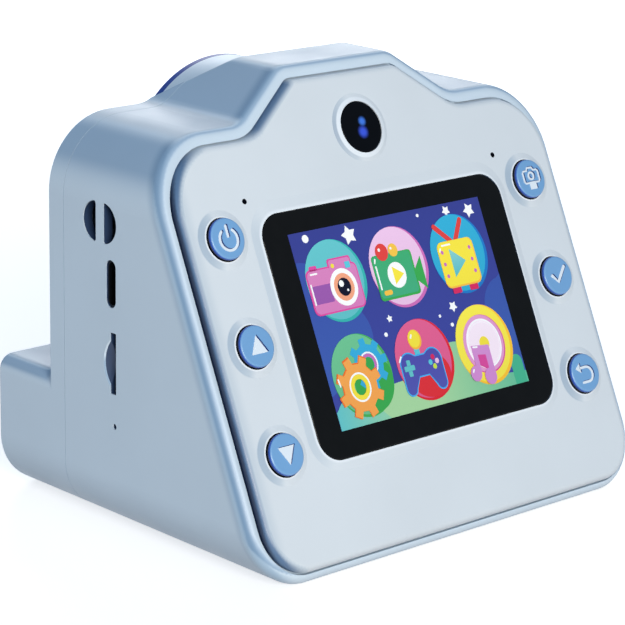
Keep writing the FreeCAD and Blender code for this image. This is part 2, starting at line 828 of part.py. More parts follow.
def make_rear_panel():
    thick = dim("panel_thick")
    panel = new_body("rear_panel")
    extrude(panel, "Pad", "XZ", lambda sketch: outline(sketch, dim("panel_inset")), BACK_Y, 10)
    slab_cut(panel, 0.0, FAR)
    slab_cut(panel, -FAR, -thick)
    fillet(panel, dim("panel_round"), lambda edge: lies(edge, rear_height))

    u = dim("glass_u")
    v = dim("glass_v")
    wide = dim("glass_wide") + 0.2
    tall = dim("glass_tall") + 0.2
    rise = dim("glass_rise")
    foot = lambda sketch: rounded_box(sketch, dim("frame_wide"), dim("frame_tall"), dim("frame_round"))
    crest = lambda sketch: rounded_box(sketch, wide + 0.2, tall + 0.2, dim("glass_round") + 0.2, u, v)
    raised_rim(panel, foot, crest, rise)
    opening = lambda sketch: rounded_box(sketch, wide, tall, dim("glass_round") + 0.1, u, v)
    seat = rise - dim("glass_thick")
    extrude(panel, "Pocket", "rear", opening, seat, rise + 1)
    window = lambda sketch: rounded_box(sketch, *LCD_WINDOW)
    extrude(panel, "Pocket", "rear", window, -thick - 1, seat)

    for name in BUTTONS:
        u, v = button_place(name)
        foot = lambda sketch: circle(sketch, 0.0, 0.0, dim("collar_rad"))
        mouth = lambda sketch: circle(sketch, 0.0, 0.0, dim("cap_rad") + MOUTH_GAP)
        hole = lambda sketch: circle(sketch, 0.0, 0.0, dim("cap_rad") + HOLE_GAP)
        raised_rim(panel, foot, mouth, dim("collar_rise"), u, v)
        extrude(panel, "Pocket", "rear", hole, -thick - 1, 1.0, u, v)

    v = dim("selfie_v")
    foot = lambda sketch: circle(sketch, 0.0, 0.0, dim("selfie_foot"))
    crest = lambda sketch: circle(sketch, 0.0, 0.0, dim("selfie_rad") + 0.2)
    opening = lambda sketch: circle(sketch, 0.0, 0.0, dim("selfie_rad") + 0.1)
    raised_rim(panel, foot, crest, dim("selfie_rise"), 0.0, v)
    extrude(panel, "Pocket", "rear", opening, dim("selfie_rise") - WINDOW_THICK, 1.0, 0.0, v)
    behind = lambda sketch: circle(sketch, 0.0, 0.0, SELFIE_HOLE)
    extrude(panel, "Pocket", "rear", behind, -thick - 1, 0.0, 0.0, v)

    def pinholes(sketch):
        for side in (-1, 1):
            circle(sketch, side * dim("pinhole_u"), dim("pinhole_v"), PINHOLE_RAD)

    extrude(panel, "Pocket", "rear", pinholes, -thick - 1, 1.0)

    def board_posts(sketch):
        for side in (-1, 1):
            for u, v in BOARD_POSTS:
                circle(sketch, side * u, v, BOARD_POST_RAD)

    def bracket_posts(sketch):
        for u, v in BRACKET_POSTS:
            circle(sketch, u, v, BRACKET_POST_RAD)

    extrude(panel, "Pad", "rear", board_posts, -BOARD_TOP, -thick + 0.1)
    extrude(panel, "Pad", "rear", bracket_posts, -BRACKET_TOP, -thick + 0.1)

    def board_pilots(sketch):
        for side in (-1, 1):
            for u, v in BOARD_POSTS:
                circle(sketch, side * u, v, PILOT_RAD)

    def bracket_pilots(sketch):
        for u, v in BRACKET_POSTS:
            circle(sketch, u, v, PILOT_RAD)

    extrude(panel, "Pocket", "rear", board_pilots, -BOARD_TOP - 1, -BOARD_TOP + 3)
    extrude(panel, "Pocket", "rear", bracket_pilots, -BRACKET_TOP - 1, -BRACKET_TOP + 2)
    keep(panel)


# ---------------------------------------------------------------- screen and rear camera


def make_screen():
    glass = new_body("display_glass")
    middle = (dim("glass_u"), dim("glass_v"))
    size = (dim("glass_wide"), dim("glass_tall"), dim("glass_round"))
    pane = lambda sketch: rounded_box(sketch, *size, *middle)
    top = dim("glass_rise")
    extrude(glass, "Pad", "rear", pane, top - dim("glass_thick"), top)
    fillet(glass, 0.25, lambda edge: lies(edge, lambda point: rear_height(point) - top.value))
    keep(glass)

    lcd = new_body("lcd_module")
    low = -dim("panel_thick")
    frame = lambda sketch: rounded_box(sketch, dim("lcd_wide"), dim("lcd_tall"), 0.8)
    extrude(lcd, "Pad", "rear", frame, low - dim("lcd_thick"), low)
    screen = lambda sketch: rounded_box(sketch, 49.6, 37.4, 0.2)
    extrude(lcd, "Pocket", "rear", screen, low - 0.3, low)
    keep(lcd)

    bracket = new_body("display_bracket")
    low = -BRACKET_TOP - BRACKET_THICK
    plate = lambda sketch: rounded_box(sketch, 59.0, 56.0, 3.0)
    extrude(bracket, "Pad", "rear", plate, low, -BRACKET_TOP)

    def openings(sketch):
        for u, v in BRACKET_POSTS:
            circle(sketch, u, v, CLEAR_RAD)
        rounded_box(sketch, 26.0, 4.0, 1.5, 0.0, -24.5)

    extrude(bracket, "Pocket", "rear", openings, low - 1, 0.0)
    rim = lambda sketch: [rounded_box(sketch, 52.6, 36.6, 2.0, 0.0, -2.0),
                          rounded_box(sketch, 55.0, 39.0, 3.0, 0.0, -2.0)]
    extrude(bracket, "Pad", "rear", rim, low - 2.0, low + 0.1)
    keep(bracket)

    battery = new_body("battery")
    cell = lambda sketch: rounded_box(sketch, 52.0, 36.0, 2.2, 0.0, -2.0)
    extrude(battery, "Pad", "rear", cell, low - 6.0, low)
    wide_faces = lambda edge: lies(edge, lambda point: rear_height(point) - low + 6.0)
    fillet(battery, 1.4, wide_faces)
    keep(battery)

    flex = new_body("lcd_flex")
    tail_y, tail_z = FLEX_START
    back = dim("board_y") - 1.6
    path = [
        (tail_y, tail_z), (tail_y, tail_z - 0.3), (back, tail_z - 0.3), (back, tail_z + 8),
        (back - 0.3, tail_z + 8), (back - 0.3, tail_z),
    ]
    extrude(flex, "Pad", "YZ", lambda sketch: polygon(sketch, path), -9.0, 9.0)
    keep(flex)


def make_rear_camera():
    v = dim("selfie_v")
    window = new_body("rear_lens_window")
    disc = lambda sketch: circle(sketch, 0.0, 0.0, dim("selfie_rad"))
    top = dim("selfie_rise")
    extrude(window, "Pad", "rear", disc, top - WINDOW_THICK, top, 0.0, v)
    fillet(window, 0.2, lambda edge: lies(edge, lambda point: rear_height(point) - top.value))
    keep(window)

    camera = new_body("rear_camera")
    base = lambda sketch: rounded_box(sketch, 8.0, 8.0, 0.6)
    extrude(camera, "Pad", "rear", base, -7.0, -3.6, 0.0, v)
    extrude(camera, "Pad", "rear", lambda sketch: circle(sketch, 0.0, 0.0, 3.1), -3.7, -2.0, 0.0, v)
    extrude(camera, "Pocket", "rear", lambda sketch: circle(sketch, 0.0, 0.0, 1.6), -2.9, -2.0, 0.0, v)
    extrude(camera, "Pad", "rear", lambda sketch: rounded_box(sketch, 10.0, 9.5, 0.5), -7.8, -6.9, 0.0, v)
    keep(camera)

# ---------------------------------------------------------------- buttons


def make_button(name):
    """A round cap with a flange under the panel and a stem that reaches for its switch."""
    u, v = button_place(name)
    cap = new_body(name)
    low = -dim("panel_thick") - 0.2
    rad = dim("cap_rad")
    points = [
        (0.0, dim("cap_rise")), (0.0, low - 1.9), (1.5, low - 1.9), (1.5, low - 0.9),
        (FLANGE_RAD, low - 0.9), (FLANGE_RAD, low), (rad, low), (rad, dim("cap_rise")),
    ]
    revolve(cap, "Revolution", "turn", lambda sketch: polygon(sketch, points), "V_Axis", u, v)
    top = lambda edge: lies(edge, lambda point: rear_height(point) - dim("cap_rise").value)
    fillet(cap, dim("cap_edge"), top)
    keep(cap)


def make_button_board(name, side):
    """One circuit board behind a column of three buttons."""
    board = new_body(name)
    inner = 30.8
    outer = 45.2
    middle = 0.5 * side * (inner + outer)
    low = -BOARD_TOP - BOARD_THICK
    sheet_shape = lambda sketch: rounded_box(sketch, outer - inner, 56.0, 1.5, middle, 1.0)
    extrude(board, "Pad", "rear", sheet_shape, low, -BOARD_TOP)

    def holes(sketch):
        for u, v in BOARD_POSTS:
            circle(sketch, side * u, v, CLEAR_RAD)

    extrude(board, "Pocket", "rear", holes, low - 1, 0.0)
    plug = lambda sketch: rounded_box(sketch, 6.0, 3.6, 0.4, side * 38.0, -22.5)
    extrude(board, "Pad", "rear", plug, low - 2.4, low + 0.1)
    keep(board)


def make_switches():
    """Six tact switches, one under each cap's stem."""
    group = new_body("tact_switches")
    group.AllowCompound = True
    stem_end = -dim("panel_thick") - 2.1
    plunger = stem_end - dim("travel") - 0.05
    for name in BUTTONS:
        u, v = button_place(name)
        case = lambda sketch: rounded_box(sketch, 5.0, 5.0, 0.5)
        extrude(group, "Pad", "rear", case, -BOARD_TOP, plunger - 0.5, u, v)
        tip = lambda sketch: circle(sketch, 0.0, 0.0, 1.2)
        extrude(group, "Pad", "rear", tip, plunger - 0.6, plunger, u, v)
    keep(group)


def make_panel_parts():
    u = dim("pinhole_u")
    v = dim("pinhole_v")
    ring = lambda sketch: circle(sketch, 0.0, 0.0, 1.9)
    microphone = new_body("microphone")
    extrude(microphone, "Pad", "rear", ring, -BOARD_TOP, -5.6, -u, v)
    extrude(microphone, "Pocket", "rear", lambda sketch: circle(sketch, 0.0, 0.0, 0.5), -6.6, -5.6, -u, v)
    keep(microphone)
    led = new_body("status_led")
    extrude(led, "Pad", "rear", lambda sketch: circle(sketch, 0.0, 0.0, 1.5), -BOARD_TOP, -4.0, u, v)
    top = lambda edge: lies(edge, lambda point: rear_height(point) + 4.0)
    fillet(led, 1.2, top)
    keep(led)


def screw_shape(shank, head_rad=HEAD_RAD, head_high=HEAD_HIGH, rad=SCREW_RAD):
    """A cross-head screw that points down from the origin, where its head begins."""
    solid = Part.makeCylinder(head_rad, head_high)
    solid = solid.fuse(Part.makeCylinder(rad, shank, Vector(0, 0, -shank)))
    arm = 1.3 * head_rad
    wide = 0.28 * head_rad
    for size in ((arm, wide), (wide, arm)):
        corner = Vector(-size[0] / 2, -size[1] / 2, 0.55 * head_high)
        slot = Part.makeBox(size[0], size[1], head_high, corner)
        solid = solid.cut(slot)
    return solid.removeSplitter()


def make_screws(label, shape, places):
    """Identical screws as one node of separate solids."""
    group = doc.addObject("Part::Feature", label)
    group.Label = label
    copies = []
    for place in places:
        copy = shape.copy()
        copy.Placement = place
        copies.append(copy)
    group.Shape = Part.makeCompound(copies)
    keep(group)


def rear_placement(u, v, n, flip):
    spot = Vector(*[item.value for item in rear_base(u, v, n)])
    turn = Rotation(Vector(1, 0, 0), 90.0 - dim("slant").value)
    if flip:
        turn = turn.multiply(Rotation(Vector(1, 0, 0), 180))
    return Placement(spot, turn)


def make_all_screws():
    small = screw_shape(2.6, 1.3, 0.8, PILOT_RAD)
    low = -BOARD_TOP - BOARD_THICK
    spots = [rear_placement(side * u, v, low, True) for side in (-1, 1) for u, v in BOARD_POSTS]
    make_screws("board_screws", small, spots)
    low = -BRACKET_TOP - BRACKET_THICK
    spots = [rear_placement(u, v, low, True) for u, v in BRACKET_POSTS]
    make_screws("bracket_screws", small, spots)
    forward = Rotation(Vector(1, 0, 0), -90)
    downward = Rotation(Vector(1, 0, 0), 180)
    seat = dim("front_y").value - HEAD_SINK
    spots = [Placement(Vector(side * UPPER_SCREW_X, seat, UPPER_SCREW_Z), forward) for side in (-1, 1)]
    make_screws("front_screws", screw_shape(10.0), spots)
    corners = [Vector(side * LOWER_SCREW_X, LOWER_SCREW_Y, FLOOR_SINK) for side in (-1, 1)]
    spots = [Placement(corner, downward) for corner in corners]
    make_screws("floor_screws", screw_shape(4.4), spots)

# ---------------------------------------------------------------- main lens


def turned_about_lens(label, points):
    """A ring or disc about the main lens's axis, from (y, radius) points."""
    body = new_body(label)
    revolve(body, "Revolution", "lens", lambda sketch: polygon(sketch, points), "H_Axis")
    return body


def lens_block(body, wide, low, high, rounding=0.6):
    square = lambda sketch: rounded_box(sketch, wide, wide, rounding, 0.0, dim("lens_z"))
    extrude(body, "Pad", "XZ", square, low, high)


def make_lens():
    front = dim("front_y")
    barrel_y = dim("barrel_y")
    ring_y = dim("ring_y")
    rad = dim("barrel_rad")
    barrel = turned_about_lens("lens_barrel", [
        (front, 14.9), (front, rad), (barrel_y, rad), (barrel_y, rad - 2.2), (front + 2.2, rad - 2.2),
        (front + 2.2, 8.0), (front, 8.0), (front, 12.6), (front - 3, 12.6), (front - 3, 14.9),
    ])
    keep(barrel)
    seat = dim("window_rad")
    ring = turned_about_lens("lens_ring", [
        (barrel_y, seat + 0.05), (barrel_y, rad), (ring_y - 1.0, rad), (ring_y, rad - 1.0),
        (ring_y, seat + 1.8), (barrel_y + 1.2, seat - 0.8), (barrel_y + 1.2, seat + 0.05),
    ])
    fillet(ring, 0.3, lambda edge: lies(edge, lambda point: point.y - ring_y.value))
    keep(ring)
    keep(turned_about_lens("lens_window", [
        (barrel_y, 0.0), (barrel_y + 1.2, 0.0), (barrel_y + 1.2, seat), (barrel_y, seat),
    ]))
    back = front + 2.2
    keep(turned_about_lens("lens_baffle", [
        (back, 5.0), (back, 19.0), (barrel_y, 19.6), (barrel_y, 17.0), (barrel_y - 1.6, 17.0),
        (barrel_y - 1.6, 13.6), (barrel_y - 3.2, 13.6), (barrel_y - 3.2, 10.2), (back + 1.6, 10.2),
        (back + 1.6, 5.0),
    ]))
    camera = turned_about_lens("front_camera", [
        (front - 4, 0.0), (front - 4, 4.6), (back + 1.9, 4.6), (back + 1.9, 3.3), (back + 1.2, 3.3),
        (back + 1.2, 0.0),
    ])
    lens_block(camera, 9.0, front - 7, front - 3.9)
    keep(camera)
    keep(turned_about_lens("front_camera_lens", [
        (back + 1.2, 0.0), (back + 2.2, 0.0), (back + 2.0, 1.6), (back + 1.5, 3.2), (back + 1.2, 3.2),
    ]))
    board = new_body("front_camera_board")
    lens_block(board, 14.0, front - 8, front - 7, 1.0)
    keep(board)

# ---------------------------------------------------------------- electronics


def make_main_board():
    board = new_body("main_board")
    top = dim("board_y")
    back = top - 1.6
    shape = lambda sketch: rounded_box(sketch, 74.6, 49.0, 1.5, -9.5, 39.05)
    extrude(board, "Pad", "XZ", shape, back, top)
    chips = [
        (-8.0, 44.55, 12.0, 12.0, 1.2),
        (-24.0, 46.55, 9.0, 7.0, 1.0),
        (-24.0, 34.55, 6.0, 6.0, 0.9),
        (-8.0, 58.55, 16.0, 4.0, 2.4),
        (10.0, 56.55, 8.0, 5.0, 1.6),
        (10.0, 24.55, 10.0, 4.0, 2.4),
        (-20.0, 20.55, 9.0, 9.0, 1.0),
    ]
    for x, z, wide, tall, high in chips:
        chip = lambda sketch: rounded_box(sketch, wide, tall, 0.3, x, z)
        extrude(board, "Pad", "XZ", chip, top - 0.1, top + high)
    plug = lambda sketch: rounded_box(sketch, 20.0, 4.0, 0.4, 0.0, 27.55)
    extrude(board, "Pad", "XZ", plug, back - 1.2, back + 0.1)
    keep(board)

    usb = new_body("usb_c_socket")
    y = dim("usb_y")
    z = dim("usb_z")
    mouth = -dim("half_width") + 0.5
    extrude(usb, "Pad", "YZ", lambda sketch: rounded_box(sketch, 2.8, 8.8, 1.39, y, z), mouth, mouth + 7.3)
    throat = lambda sketch: rounded_box(sketch, 2.2, 8.2, 1.09, y, z)
    extrude(usb, "Pocket", "YZ", throat, mouth - 1, mouth + 6.3)
    blade = lambda sketch: rounded_box(sketch, 0.7, 6.6, 0.2, y, z)
    extrude(usb, "Pad", "YZ", blade, mouth + 1.2, mouth + 6.4)
    keep(usb)

    card = new_body("card_socket")
    y = dim("card_y")
    z = dim("card_z")
    mouth = -dim("half_width") + dim("wall") + 0.3
    case = box_points(top, top + 1.7, z - 7, z + 7)
    extrude(card, "Pad", "YZ", lambda sketch: polygon(sketch, case), mouth, mouth + 14.5)
    throat = box_points(y - 0.45, y + 0.45, z - 5.6, z + 5.6)
    extrude(card, "Pocket", "YZ", lambda sketch: polygon(sketch, throat), mouth - 1, mouth + 12)
    keep(card)

    reset = new_body("reset_switch")
    y = dim("reset_y")
    z = dim("reset_z")
    case = box_points(top, top + 1.8, z - 1.8, z + 1.8)
    start = -dim("half_width") + dim("wall") + 0.9
    extrude(reset, "Pad", "YZ", lambda sketch: polygon(sketch, case), start, start + 2.6)
    keep(reset)
    tip = lambda sketch: circle(sketch, y, z, 0.4)
    plunger = new_body("reset_plunger")
    extrude(plunger, "Pad", "YZ", tip, start - 1.9, start - 0.35)
    keep(plunger)

    speaker = new_body("speaker")
    outer = dim("half_width") - dim("wall") - 0.15
    basket = lambda sketch: circle(sketch, SPEAKER_Y, SPEAKER_Z, 9.0)
    magnet = lambda sketch: circle(sketch, SPEAKER_Y, SPEAKER_Z, 5.0)
    cone = lambda sketch: circle(sketch, SPEAKER_Y, SPEAKER_Z, 7.6)
    extrude(speaker, "Pad", "YZ", basket, outer - 1.6, outer)
    extrude(speaker, "Pad", "YZ", magnet, outer - 4.0, outer - 1.5)
    extrude(speaker, "Pocket", "YZ", cone, outer - 0.5, outer + 1)
    keep(speaker)

# ---------------------------------------------------------------- printer

PLATE_IN = 29.4
PLATE_OUT = 30.6
GEAR_LOW = 31.0
GEAR_WIDE = 1.8
BIG_LOW = 33.2
PLATEN_TEETH = 16
IDLER_SMALL = 12
IDLER_BIG = 26
PINION_TEETH = 10
MESH_ANGLE = math.radians(120.0)
MESH_SLACK = 0.15
SHAFT_RAD = 1.5
MOTOR_RAD = 7.4


def pitch_rad(teeth):
    return 0.5 * teeth * dim("gear_module")


def idler_centre():
    reach = pitch_rad(PLATEN_TEETH) + pitch_rad(IDLER_SMALL) + MESH_SLACK
    return dim("platen_y") + reach * math.cos(MESH_ANGLE), dim("platen_z") + reach * math.sin(MESH_ANGLE)


def motor_centre():
    y, z = idler_centre()
    return y, z + pitch_rad(IDLER_BIG) + pitch_rad(PINION_TEETH) + MESH_SLACK


def spindle_body(label, y, z):
    """A body whose own X axis lies on the shaft at (y, z)."""
    body = new_body(label)
    y = as_size(y)
    z = as_size(z)
    body.Placement = Placement(Vector(0, y.value, z.value), Rotation())
    body.setExpression("Placement.Base.y", y.text)
    body.setExpression("Placement.Base.z", z.text)
    return body


def add_gear(body, teeth, low, high, phase):
    """A spur gear about the body's own X axis, with one tooth pointing along phase in degrees."""
    pitch = pitch_rad(teeth)
    module = dim("gear_module")
    root = pitch - 1.25 * module
    extrude(body, "Pad", "YZ", lambda sketch: circle(sketch, 0.0, 0.0, root), low, high)
    rings = [(root - 0.3 * module, 1.0), (root, 1.0), (pitch, 0.54), (pitch + 0.88 * module, 0.26)]
    turn = math.radians(phase)
    left = []
    right = []
    for radius, half in rings:
        for side, half_list in ((1, left), (-1, right)):
            across = side * half * module
            y = radius * math.cos(turn) - across * math.sin(turn)
            z = radius * math.sin(turn) + across * math.cos(turn)
            half_list.append((y, z))
    tooth = lambda sketch: polygon(sketch, right + left[::-1])
    feature = extrude(body, "Pad", "YZ", tooth, low, high)
    pattern = body.newObject("PartDesign::PolarPattern", "Teeth")
    pattern.Originals = [feature]
    pattern.Axis = (own_plane(body, "X_Axis"), [""])
    pattern.Angle = 360.0
    pattern.Occurrences = teeth
    body.Tip = pattern
    settle(body, pattern)


def centred(radius):
    return lambda sketch: circle(sketch, 0.0, 0.0, radius)


def make_printer():
    y = dim("platen_y")
    z = dim("platen_z")
    rubber = spindle_body("platen_rubber", y, z)
    extrude(rubber, "Pad", "YZ", centred(dim("platen_rad")), -28.4, 28.4)
    extrude(rubber, "Pocket", "YZ", centred(SHAFT_RAD), -30, 30)
    keep(rubber)
    shaft = spindle_body("platen_shaft", y, z)
    extrude(shaft, "Pad", "YZ", centred(SHAFT_RAD), -31.6, 33.0)
    keep(shaft)
    gear = spindle_body("platen_gear", y, z)
    add_gear(gear, PLATEN_TEETH, GEAR_LOW, GEAR_LOW + GEAR_WIDE, math.degrees(MESH_ANGLE))
    extrude(gear, "Pocket", "YZ", centred(SHAFT_RAD), GEAR_LOW - 1, GEAR_LOW + GEAR_WIDE + 1)
    keep(gear)

    idler_y, idler_z = idler_centre()
    idler = spindle_body("idler_gear", idler_y, idler_z)
    towards_platen = math.degrees(MESH_ANGLE) + 180.0
    add_gear(idler, IDLER_SMALL, GEAR_LOW, BIG_LOW + 0.1, towards_platen + 180.0 / IDLER_SMALL)
    add_gear(idler, IDLER_BIG, BIG_LOW, BIG_LOW + GEAR_WIDE, 90.0)
    extrude(idler, "Pocket", "YZ", centred(SHAFT_RAD + RUNNING), GEAR_LOW - 1, BIG_LOW + GEAR_WIDE + 1)
    keep(idler)

    motor_y, motor_z = motor_centre()
    pinion = spindle_body("motor_pinion", motor_y, motor_z)
    add_gear(pinion, PINION_TEETH, BIG_LOW - 0.1, BIG_LOW + GEAR_WIDE + 0.1, 270.0 + 180.0 / PINION_TEETH)
    extrude(pinion, "Pad", "YZ", centred(1.0), PLATE_IN + 0.1, BIG_LOW + GEAR_WIDE + 0.5)
    keep(pinion)
    motor = spindle_body("stepper_motor", motor_y, motor_z)
    extrude(motor, "Pad", "YZ", centred(MOTOR_RAD), 17.5, PLATE_IN)
    ear = lambda sketch: rounded_box(sketch, 5.0, 20.4, 2.4)
    extrude(motor, "Pad", "YZ", ear, PLATE_IN - 0.8, PLATE_IN)
    tag = lambda sketch: rounded_box(sketch, 3.0, 6.0, 0.4, -MOTOR_RAD + 1.2, 0.0)
    extrude(motor, "Pad", "YZ", tag, 20.0, 26.0)
    keep(motor)

    frame = new_body("printer_frame")
    rear = 6.5
    front = 19.6
    low = 25.15
    plate = box_points(rear, front, low, 38.95)
    extrude(frame, "Pad", "YZ", lambda sketch: polygon(sketch, plate), -PLATE_OUT, -PLATE_IN)
    back = box_points(-PLATE_OUT, PLATE_OUT, low, 35.95)
    extrude(frame, "Pad", "XZ", lambda sketch: polygon(sketch, back), rear, rear + 1.2)
    tall = box_points(rear, front, low, motor_z + 10.5)
    extrude(frame, "Pad", "YZ", lambda sketch: polygon(sketch, tall), PLATE_IN, PLATE_OUT)
    post = lambda sketch: circle(sketch, idler_y, idler_z, SHAFT_RAD)
    extrude(frame, "Pad", "YZ", post, PLATE_OUT - 0.1, BIG_LOW + GEAR_WIDE + 0.5)
    bore = lambda sketch: circle(sketch, y, z, SHAFT_RAD + RUNNING)
    extrude(frame, "Pocket", "YZ", bore, -PLATE_OUT - 1, PLATE_OUT + 1)
    hole = lambda sketch: circle(sketch, motor_y, motor_z, 2.0)
    extrude(frame, "Pocket", "YZ", hole, PLATE_IN - 1, PLATE_OUT + 1)
    keep(frame)

    gap = 0.1
    face_y = y - dim("platen_rad") - gap
    head = new_body("print_head")
    strip = box_points(-26.0, 26.0, z - 3, z + 3)
    extrude(head, "Pad", "XZ", lambda sketch: polygon(sketch, strip), face_y - 0.9, face_y)
    keep(head)
    sink = new_body("head_heatsink")
    plate = box_points(-28.6, 28.6, z - 3.4, z + 5)
    extrude(sink, "Pad", "XZ", lambda sketch: polygon(sketch, plate), face_y - 2.0, face_y - 0.9)
    keep(sink)
    spring = new_body("head_spring")
    seat = rear + 1.2
    crest = face_y - 2.0
    outside = [(seat, z - 2.4), (crest, z), (seat, z + 2.4)]
    leaf = outside + [(seat, z + 1.9), (crest - 0.3, z), (seat, z - 1.9)]
    extrude(spring, "Pad", "YZ", lambda sketch: polygon(sketch, leaf), -12.0, 12.0)
    keep(spring)


def make_paper_bay():
    y = dim("roll_y")
    z = dim("roll_z")
    rad = dim("roll_rad")
    half = dim("roll_half")
    roll = spindle_body("paper_roll", y, z)
    extrude(roll, "Pad", "YZ", centred(rad), -half, half)
    extrude(roll, "Pocket", "YZ", centred(4.0), -half - 1, half + 1)
    keep(roll)
    core = spindle_body("roll_core", y, z)
    extrude(core, "Pad", "YZ", centred(4.0), -half, half)
    extrude(core, "Pocket", "YZ", centred(2.8), -half - 1, half + 1)
    keep(core)

    tray = new_body("paper_tray")
    ring = lambda sketch: circle(sketch, y, z, rad + 1.4)
    extrude(tray, "Pad", "YZ", ring, -PLATE_OUT, PLATE_OUT)
    hollow = lambda sketch: circle(sketch, y, z, rad + 0.5)
    extrude(tray, "Pocket", "YZ", hollow, -half - 0.5, half + 0.5)
    above = box_points(y - 30, y + 30, z + 6, z + 30)
    extrude(tray, "Pocket", "YZ", lambda sketch: polygon(sketch, above), -40, 40)
    ahead = box_points(y, y + 30, z - 5, z + 30)
    extrude(tray, "Pocket", "YZ", lambda sketch: polygon(sketch, ahead), -40, 40)
    keep(tray)


def make_door():
    half = dim("door_half")
    low = dim("hinge_z")
    top = dim("door_top")
    hinge = dim("hinge_y")
    front = dim("step_y")
    door = new_body("paper_door")
    plate = lambda sketch: rounded_box(sketch, 2 * half, top - low, 2.0, 0.0, 0.5 * (low + top))
    extrude(door, "Pad", "XZ", plate, front - 2.1, front)
    foot = box_points(-half, half, low, low + 4)
    extrude(door, "Pad", "XZ", lambda sketch: polygon(sketch, foot), front - 2.1, front)
    barrel = lambda sketch: circle(sketch, hinge, low, dim("hinge_rad"))
    extrude(door, "Pad", "YZ", barrel, -half, half)
    bore = lambda sketch: circle(sketch, hinge, low, SCREW_RAD + RUNNING)
    extrude(door, "Pocket", "YZ", bore, half - 6.5, half + 1)
    extrude(door, "Pocket", "YZ", bore, -half - 1, -half + 6.5)
    for x in (-18.0, 0.0, 18.0):
        rib = box_points(x - 0.6, x + 0.6, low + 5, top - 3)
        extrude(door, "Pad", "XZ", lambda sketch: polygon(sketch, rib), front - 3.6, front - 2.0)
    keep(door)

    pins = new_body("door_hinge_pins")
    pins.AllowCompound = True
    pin = lambda sketch: circle(sketch, hinge, low, SCREW_RAD)
    extrude(pins, "Pad", "YZ", pin, half - 6, half + dim("door_gap") + 3)
    extrude(pins, "Pad", "YZ", pin, -half - dim("door_gap") - 3, -half + 6)
    keep(pins)


make_main_housing()
make_front_shell()
make_rear_panel()
make_screen()
make_rear_camera()
for name in BUTTONS:
    make_button(name)
make_button_board("left_button_board", -1)
make_button_board("right_button_board", 1)
make_switches()
make_panel_parts()
make_lens()
make_main_board()
make_printer()
make_paper_bay()
make_door()
make_all_screws()

# ---------------------------------------------------------------- checks and files

for item in doc.Objects:
    if "Invalid" in item.State or "Error" in item.State:
        raise RuntimeError(f"{item.Label} did not compute")
os.makedirs("parts", exist_ok=True)
for item in nodes:
    shape = item.Shape
    if shape.isNull() or not shape.isValid():
        raise RuntimeError(f"{item.Label} has no valid shape")
    print(item.Label, len(shape.Solids), round(shape.Volume, 1))
    shape.exportStep(f"parts/{item.Label}.step")
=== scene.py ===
import json
import math

import bmesh
import bpy
from mathutils import Matrix, Vector


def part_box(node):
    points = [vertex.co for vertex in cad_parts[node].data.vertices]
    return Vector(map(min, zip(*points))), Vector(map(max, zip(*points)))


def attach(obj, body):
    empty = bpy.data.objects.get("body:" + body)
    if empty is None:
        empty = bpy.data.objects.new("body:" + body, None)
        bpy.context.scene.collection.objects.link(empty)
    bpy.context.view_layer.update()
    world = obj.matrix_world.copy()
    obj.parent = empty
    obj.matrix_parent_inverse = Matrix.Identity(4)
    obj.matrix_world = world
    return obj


# The looks of a child's instant-print camera: materials for every sub-part, the picture on its
# screen, the symbols on its buttons, and a plain studio. Lengths are in metres, and the numbers
# of a drawing are in millimetres.

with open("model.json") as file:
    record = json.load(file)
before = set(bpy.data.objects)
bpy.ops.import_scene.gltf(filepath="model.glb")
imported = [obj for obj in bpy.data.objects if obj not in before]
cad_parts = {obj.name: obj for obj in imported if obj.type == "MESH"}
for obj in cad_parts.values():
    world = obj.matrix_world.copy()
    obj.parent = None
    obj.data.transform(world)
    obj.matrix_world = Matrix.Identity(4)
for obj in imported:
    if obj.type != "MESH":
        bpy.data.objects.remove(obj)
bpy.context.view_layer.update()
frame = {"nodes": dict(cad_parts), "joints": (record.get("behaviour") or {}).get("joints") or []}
nodes = frame["nodes"]

MM = 0.001
WHITE = (1.0, 1.0, 1.0, 1.0)


def new_object(name, data):
    item = bpy.data.objects.new(name, data)
    bpy.context.scene.collection.objects.link(item)
    return item


# ---------------------------------------------------------------- the slanted face


def press_axis():
    """The way a button travels, which is straight into the slanted face."""
    for joint in frame["joints"]:
        if joint["name"] == "power_button_press":
            return Vector(joint["axis"])
    raise ValueError("no button joint")


def middle(node):
    low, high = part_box(node)
    return (low + high) / 2


FACE_N = -press_axis().normalized()
FACE_U = Vector((1, 0, 0))
FACE_V = FACE_N.cross(FACE_U)
FACE_AXES = Matrix((FACE_U, FACE_V, FACE_N)).transposed()
GLASS_MIDDLE = middle("display_glass")


def face_span(node):
    """Lowest and highest corner of a CAD node along the slanted face's own axes."""
    to_face = FACE_AXES.transposed()
    spots = [to_face @ (vertex.co - GLASS_MIDDLE) for vertex in nodes[node].data.vertices]
    low = Vector([min(spot[axis] for spot in spots) for axis in range(3)])
    high = Vector([max(spot[axis] for spot in spots) for axis in range(3)])
    return low, high


def face_top(node):
    """Middle of a CAD node across and up the slanted face, at its outermost height."""
    low, high = face_span(node)
    return Vector(((low.x + high.x) / 2, (low.y + high.y) / 2, high.z))


def face_spot(u, v, n):
    """The place in the frame of a spot given along the slanted face's own axes."""
    return GLASS_MIDDLE + FACE_AXES @ Vector((u, v, n))


def face_place(u, v, n):
    """A placement whose x, y and z run across, up and out of the slanted face."""
    return Matrix.Translation(face_spot(u, v, n)) @ FACE_AXES.to_4x4()


# ---------------------------------------------------------------- material nodes

NOISE_RANGE = (0.3, 0.7)
SCALAR_RESULTS = ("DOT_PRODUCT", "LENGTH", "DISTANCE")


def srgb(red, green, blue):
    """A colour from its 0 to 255 display values."""
    def channel(value):
        value /= 255
        return value / 12.92 if value <= 0.04045 else ((value + 0.055) / 1.055) ** 2.4
    return (channel(red), channel(green), channel(blue), 1.0)


